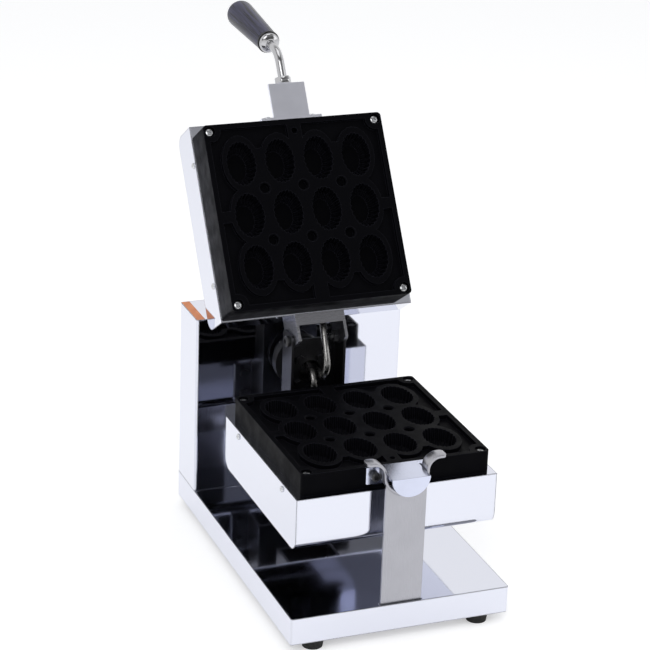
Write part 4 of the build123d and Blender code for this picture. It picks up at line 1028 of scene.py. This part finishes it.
class IRON_OT_cradle(bpy.types.Operator):
    """Bends the brushed strip of the cradle, with its two horns"""
    bl_idname = "cake_iron.cradle"
    bl_label = "Cradle"

    def execute(self, context):
        low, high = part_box("cradle")
        corner = 0.004
        bm = bmesh.new()
        outline = [bm.verts.new((x, low.y, SPIN_Z * MM + z)) for x, z in self.side_view(high.x)]
        face = bm.faces.new(outline)
        made = bmesh.ops.extrude_face_region(bm, geom=[face], use_keep_orig=True)["geom"]
        moved = [item for item in made if isinstance(item, bmesh.types.BMVert)]
        bmesh.ops.translate(bm, vec=(0, high.y - low.y, 0), verts=moved)
        tips = [edge for edge in bm.edges if all(abs(vert.co.x) > high.x - 1e-6 for vert in edge.verts)
                and abs(edge.verts[0].co.y - edge.verts[1].co.y) < 1e-6]
        bevel(bm, tips, corner, 8)
        bmesh.ops.recalc_face_normals(bm, faces=bm.faces)
        bevel_sharp(bm, 0.0004, 2, math.radians(60))
        add_piece(bm, "cradle_bent", "base", finish("brushed_back"), ["cradle"])
        return {"FINISHED"}

    def side_view(self, tip_x):
        """The bent strip's closed outline, as (x, height over the turning axis) points."""
        cup, thick, horn = 0.0225, 0.003, 0.015
        horn_x = cup + horn
        horn_steps, cup_steps = 16, 48

        def arc(centre_x, radius, start, end, steps):
            angles = [math.radians(start + (end - start) * step / steps) for step in range(steps + 1)]
            return [(centre_x + radius * math.cos(angle), radius * math.sin(angle)) for angle in angles]

        upper_side = [(-tip_x, horn)] + arc(-horn_x, horn, 90, 0, horn_steps)
        upper_side += arc(0, cup, 180, 360, cup_steps)[1:]
        upper_side += arc(horn_x, horn, 180, 90, horn_steps)[1:] + [(tip_x, horn)]
        under_side = [(tip_x, horn - thick)] + arc(horn_x, horn - thick, 90, 180, horn_steps)
        under_side += arc(0, cup + thick, 360, 180, cup_steps)[1:]
        under_side += arc(-horn_x, horn - thick, 0, 90, horn_steps)[1:] + [(-tip_x, horn - thick)]
        return upper_side + under_side


class IRON_OT_conduits(bpy.types.Operator):
    """Draws the two conduits that leave the hollow shaft, the upper one up into the open lid."""
    bl_idname = "cake_iron.conduits"
    bl_label = "Conduits"

    def execute(self, context):
        diameter = 0.0085
        tail_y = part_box("spin_shaft")[1].y + 0.004
        self.draw_lower(diameter, tail_y)
        self.draw_upper(diameter, tail_y)
        return {"FINISHED"}

    def draw_lower(self, diameter, tail_y):
        """Forward out of the shaft, down, and forward again into the lower iron's back wall."""
        bend, elbow, before_wall, inside = 0.020, 0.012, 0.007, 0.008
        start = machine(-2.6, 0, SPIN_Z + 6.5)
        wall = machine(-2.6, HOUSING_BACK, LOWER_GLAND_Z)
        bend_y = wall.y + before_wall + elbow + bend
        pipe = Pipe((start.x, tail_y, start.z), FORWARD, diameter)
        pipe.run(tail_y - bend_y, 4).bend(bend, math.pi / 2, ACROSS, 16)
        pipe.run(pipe.place.z - wall.z - elbow, 4).bend(elbow, -math.pi / 2, ACROSS, 14)
        pipe.run(before_wall + inside, 2)
        add_piece(pipe.close(), "lower_conduit_bent", "turner", finish("nickel"), ["lower_conduit"])

    def draw_upper(self, diameter, tail_y):
        """Forward out of the shaft, then round and up into the back wall of the open lid."""
        radius, inside, wall_gap, gland_x = 0.016, 0.008, 0.0005, 0.012
        sine, cosine = math.sin(OPEN_ANGLE), math.cos(OPEN_ANGLE)
        wall_back = machine(0, HOUSING_BACK, 0).y - HINGE_PLACE.y
        wall_y = HINGE_PLACE.y + wall_back * cosine - wall_gap * sine
        wall_z = HINGE_PLACE.z - wall_back * sine - wall_gap * cosine
        start = machine(6.6, 0, SPIN_Z + 0.5)
        rise = wall_z - start.z
        slant = math.atan2(gland_x - start.x, rise)
        straight = (rise / math.cos(slant) - radius * (1 - cosine)) / sine
        bend_y = wall_y + straight * cosine + radius * sine
        pipe = Pipe((start.x, tail_y, start.z), FORWARD, diameter)
        pipe.run(tail_y - bend_y, 6)
        pipe.bend(radius, -(math.pi - math.atan2(sine, -cosine)), (math.cos(slant), 0, -math.sin(slant)), 16)
        pipe.run(straight, 14).run(inside, 2)
        piece = add_piece(pipe.close(), "upper_conduit_bent", "turner", finish("nickel"), ["upper_conduit"])
        # It rides on no single body: it is taken off the turner and left where it is drawn.
        piece.parent = None
        del piece["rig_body"]
        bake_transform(piece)


class IRON_OT_controls(bpy.types.Operator):
    """Makes the two pointer knobs with their printed scales, and the marks on the rocker"""
    bl_idname = "cake_iron.controls"
    bl_label = "Controls"

    def execute(self, context):
        for name, x, figures, sweep in (
                ("thermostat", THERMOSTAT_X, ["0", "50", "100", "150", "200", "250", "300"], 270.0),
                ("timer", TIMER_X, ["0", "1", "2", "3", "4", "5"], 300.0)):
            self.mould_knob(context.scene.iron_controls, name, x)
            self.print_scale(name, x, figures, sweep)
        self.mark_rocker()
        return {"FINISHED"}

    def mould_knob(self, size, name, x):
        """A skirted knob with a pointer bar across it, and the white line on the bar."""
        gap = 1
        place = Matrix.Translation(machine(x, CONTROLS_Y, COLUMN_TOP + gap))
        body = f"{name}_knob"
        skirt = size.knob_skirt / 2
        grip = size.knob_grip / 2
        top = 0.015
        knob = lathe([(0, 0), (skirt - 0.0004, 0), (skirt, 0.0005), (skirt, 0.0018), (skirt - 0.0012, 0.003),
                      (grip + 0.0006, 0.0032), (grip, 0.0044), (grip - 0.0006, 0.0138),
                      (grip - 0.0022, top), (0, top)], 64)
        bar = slab((-0.0032, -0.0155, 0.003), (0.0032, 0.012, 0.016), 0.0012, 3)
        add_piece(copied(join(knob, bar), place), f"{body}_moulded", body, finish("plastic"), [body])
        line = slab((-0.0007, -0.0145, 0.01602), (0.0007, -0.002, 0.01612))
        add_piece(copied(line, place), f"{body}_line", body, finish("white"))

    def print_scale(self, name, x, figures, sweep):
        """Long and short ticks round a knob, with plain figures at the long ones."""
        ink, clear_of_sheet = 0.00008, 0.02
        half_tick, near, far_long, far_short = 0.0003, 0.0182, 0.0209, 0.0199
        figure_size, figure_radius = 0.0042, 0.0235
        centre = Matrix.Translation(machine(x, CONTROLS_Y, COLUMN_TOP + clear_of_sheet))
        marks = bmesh.new()
        last = (len(figures) - 1) * 2
        for step in range(last + 1):
            angle = math.radians(sweep * step / last)
            turn = centre @ Matrix.Rotation(-angle, 4, "Z")
            far = far_short if step % 2 else far_long
            join(marks, copied(slab((-half_tick, -far, 0), (half_tick, -near, ink)), turn))
            if not step % 2:
                upright = Matrix.Translation((0, -figure_radius, ink / 2)) @ Matrix.Rotation(angle, 4, "Z")
                join(marks, copied(lettering(figures[step // 2], figure_size, ink), turn @ upright))
        add_piece(marks, f"{name}_scale", "base", finish("black"))

    def mark_rocker(self):
        """The plain stroke and ring on the two slopes of the rocker, which rests tilted."""
        lean = math.radians(10)
        reach, height, ink = 0.0072, 0.00431, 0.0001
        tilt = Matrix.Translation(machine(ROCKER_X, CONTROLS_Y, COLUMN_TOP)) @ Matrix.Rotation(-lean, 4, "X")
        stroke = slab((-0.0004, -0.0018, 0), (0.0004, 0.0018, ink))
        ring = lathe([(0.0013, 0), (0.0020, 0), (0.0020, ink), (0.0013, ink), (0.0013, 0)], 24)
        front = Matrix.Translation((0, -reach, height)) @ Matrix.Rotation(-lean, 4, "X")
        back = Matrix.Translation((0, reach, height)) @ Matrix.Rotation(lean, 4, "X")
        marks = join(copied(stroke, tilt @ back), copied(ring, tilt @ front))
        add_piece(marks, "rocker_marks", "rocker", finish("white"))


class IRON_OT_tape(bpy.types.Operator):
    """Lays the plain orange tape along the left edge of the column's top"""
    bl_idname = "cake_iron.tape"
    bl_label = "Edge tape"

    def execute(self, context):
        low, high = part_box("column_shell")
        side_inset, end_inset = 0.0006, 0.0012
        under_side, upper_side = 0.00002, 0.00016
        left = low.x + side_inset
        right = left + context.scene.iron_controls.tape_width
        bm = slab((left, low.y + end_inset, high.z + under_side),
                  (right, high.y - end_inset, high.z + upper_side))
        add_piece(bm, "edge_tape", "base", finish("film"))
        return {"FINISHED"}


class IRON_OT_stage(bpy.types.Operator):
    """Sets the pale floor, the soft lights and the camera"""
    bl_idname = "cake_iron.stage"
    bl_label = "Studio"

    def execute(self, context):
        look = context.scene.iron_stage
        context.scene.view_settings.view_transform = "Standard"
        self.lay_floor(look)
        self.fill_room(context.scene, look)
        for name, place, side, power in (("key", (-1.5, -2.1, 2.4), 1.8, look.key_power),
                                         ("fill", (2.4, -1.2, 1.5), 1.5, look.fill_power),
                                         ("top", (0.1, 0.2, 2.8), 1.6, look.fill_power)):
            self.hang_lamp(name, Vector(place), side, power)
        self.set_camera(context.scene, look)
        return {"FINISHED"}

    def lay_floor(self, look):
        """A matt floor that glows to white for the camera and for metal, and keeps its shadow."""
        bm = bmesh.new()
        bmesh.ops.create_grid(bm, x_segments=1, y_segments=1, size=look.floor_size / 2)
        mesh = bpy.data.meshes.new("floor")
        bm.to_mesh(mesh)
        bm.free()
        floor = linked("floor", mesh)
        recipe = Recipe("floor_paper", look.floor_colour, 0.0, 0.9, 0.05)
        tree = recipe.tree
        path = tree.nodes.new("ShaderNodeLightPath")
        seen = math_node(tree, "MAXIMUM", path.outputs["Is Camera Ray"], path.outputs["Is Glossy Ray"])
        glow = tree.nodes.new("ShaderNodeEmission")
        glow.inputs["Color"].default_value = (1, 1, 1, 1)
        recipe.link(math_node(tree, "MULTIPLY", seen, look.floor_glow), glow.inputs["Strength"])
        both = tree.nodes.new("ShaderNodeAddShader")
        recipe.link(recipe.skin.outputs["BSDF"], both.inputs[0])
        recipe.link(glow.outputs["Emission"], both.inputs[1])
        recipe.link(both.outputs["Shader"], recipe.output.inputs["Surface"])
        mesh.materials.append(recipe.material)

    def fill_room(self, scene, look):
        """Even light from all round, and the room that the camera, metal and glass see."""
        world = bpy.data.worlds.new("white_room")
        scene.world = world
        world.use_nodes = True
        tree = world.node_tree
        tree.nodes.clear()
        path = tree.nodes.new("ShaderNodeLightPath").outputs
        light = tree.nodes.new("ShaderNodeBackground")
        light.inputs["Color"].default_value = (0.97, 0.98, 1.0, 1)
        light.inputs["Strength"].default_value = look.daylight
        room = tree.nodes.new("ShaderNodeBackground")
        room.inputs["Color"].default_value = (1, 1, 1, 1)
        tree.links.new(self.room_brightness(tree, path, look), room.inputs["Strength"])
        seen = math_node(tree, "MAXIMUM", path["Is Camera Ray"], path["Is Glossy Ray"])
        seen = math_node(tree, "MAXIMUM", seen, path["Is Transmission Ray"])
        either = tree.nodes.new("ShaderNodeMixShader")
        tree.links.new(seen, either.inputs["Fac"])
        tree.links.new(light.outputs["Background"], either.inputs[1])
        tree.links.new(room.outputs["Background"], either.inputs[2])
        output = tree.nodes.new("ShaderNodeOutputWorld")
        tree.links.new(either.outputs["Shader"], output.inputs["Surface"])

    def room_brightness(self, tree, path, look):
        """White for the camera. For metal the room is dim in front, darkest low down, and dim overhead."""
        heading = tree.nodes.new("ShaderNodeTexCoord").outputs["Generated"]
        split = tree.nodes.new("ShaderNodeSeparateXYZ")
        tree.links.new(heading, split.inputs[0])
        back, up = split.outputs["Y"], split.outputs["Z"]

        def ramp(value, start, end, low, high):
            return range_node(tree, value, start, end, low, high, "SMOOTHSTEP")

        in_front = ramp(back, 0.1, -0.5, 0.0, 1.0)
        above_floor = ramp(up, 0.02, 0.3, 0.0, 1.0)
        depth = ramp(up, 0.42, 0.58, look.low_shade, look.front_shade)
        overhead = ramp(up, 0.62, 0.9, 1.0, 1.0 - look.front_shade)
        dark = math_node(tree, "MULTIPLY", math_node(tree, "MULTIPLY", in_front, above_floor), depth)
        dim = math_node(tree, "MULTIPLY", math_node(tree, "SUBTRACT", 1.0, dark), overhead)
        return math_node(tree, "MAXIMUM", dim, path["Is Camera Ray"])

    def hang_lamp(self, name, place, side, power):
        """A square lamp that points at the iron's middle."""
        lamp = bpy.data.lights.new(name, "AREA")
        lamp.shape = "SQUARE"
        lamp.size = side
        lamp.energy = power
        holder = linked(name, lamp)
        middle = Vector((0, 0, 0.25))
        aim = (middle - place).to_track_quat("-Z", "Y").to_matrix().to_4x4()
        holder.matrix_world = Matrix.Translation(place) @ aim

    def set_camera(self, scene, look):
        """The photograph's camera, from its place, angles and focal length."""
        azimuth = math.radians(look.camera_azimuth)
        elevation = math.radians(look.camera_elevation)
        roll = math.radians(look.camera_roll)
        back = Vector((math.sin(azimuth) * math.cos(elevation), -math.cos(azimuth) * math.cos(elevation),
                       math.sin(elevation)))
        right = Vector((math.cos(azimuth), math.sin(azimuth), 0))
        up = back.cross(right)
        across = right * math.cos(roll) + up * math.sin(roll)
        upward = up * math.cos(roll) - right * math.sin(roll)
        lens = bpy.data.cameras.new("photo_view")
        lens.sensor_width = 36.0
        lens.lens = look.camera_focal / PICTURE_WIDTH * lens.sensor_width
        lens.clip_end = 60.0
        holder = linked("photo_view", lens)
        turn = Matrix((across, upward, back)).transposed().to_4x4()
        holder.matrix_world = Matrix.Translation(machine(*look.camera_place)) @ turn
        scene.camera = holder


OPERATORS = (IRON_OT_metal_finishes, IRON_OT_plate_screws, IRON_OT_side_screws, IRON_OT_tongue_screws,
             IRON_OT_handle, IRON_OT_cradle, IRON_OT_conduits, IRON_OT_controls, IRON_OT_tape, IRON_OT_stage)
GROUPS = {"iron_metal": IronMetal, "iron_plates": IronPlates, "iron_handle": IronHandle,
          "iron_controls": IronControls, "iron_stage": IronStage}


class IRON_PT_sidebar(bpy.types.Panel):
    """Lists the iron's sizes, colours and steps"""
    bl_idname = "IRON_PT_sidebar"
    bl_label = "Cake Iron"
    bl_space_type = "VIEW_3D"
    bl_region_type = "UI"
    bl_category = "Cake Iron"

    def draw(self, context):
        for attribute, group in GROUPS.items():
            box = self.layout.box()
            for name in group.__annotations__:
                box.prop(getattr(context.scene, attribute), name)
        for operator in OPERATORS:
            self.layout.operator(operator.bl_idname)


def register():
    for group in (*GROUPS.values(), *OPERATORS, IRON_PT_sidebar):
        bpy.utils.register_class(group)
    for attribute, group in GROUPS.items():
        setattr(bpy.types.Scene, attribute, PointerProperty(type=group))


def unregister():
    for attribute in GROUPS:
        delattr(bpy.types.Scene, attribute)
    for group in reversed((*GROUPS.values(), *OPERATORS, IRON_PT_sidebar)):
        bpy.utils.unregister_class(group)


def main():
    register()
    bpy.ops.cake_iron.metal_finishes()
    bpy.ops.cake_iron.plate_screws()
    bpy.ops.cake_iron.side_screws()
    bpy.ops.cake_iron.tongue_screws()
    bpy.ops.cake_iron.handle()
    bpy.ops.cake_iron.cradle()
    bpy.ops.cake_iron.conduits()
    bpy.ops.cake_iron.controls()
    bpy.ops.cake_iron.tape()
    bpy.ops.cake_iron.stage()


if __name__ == "__main__":
    main()
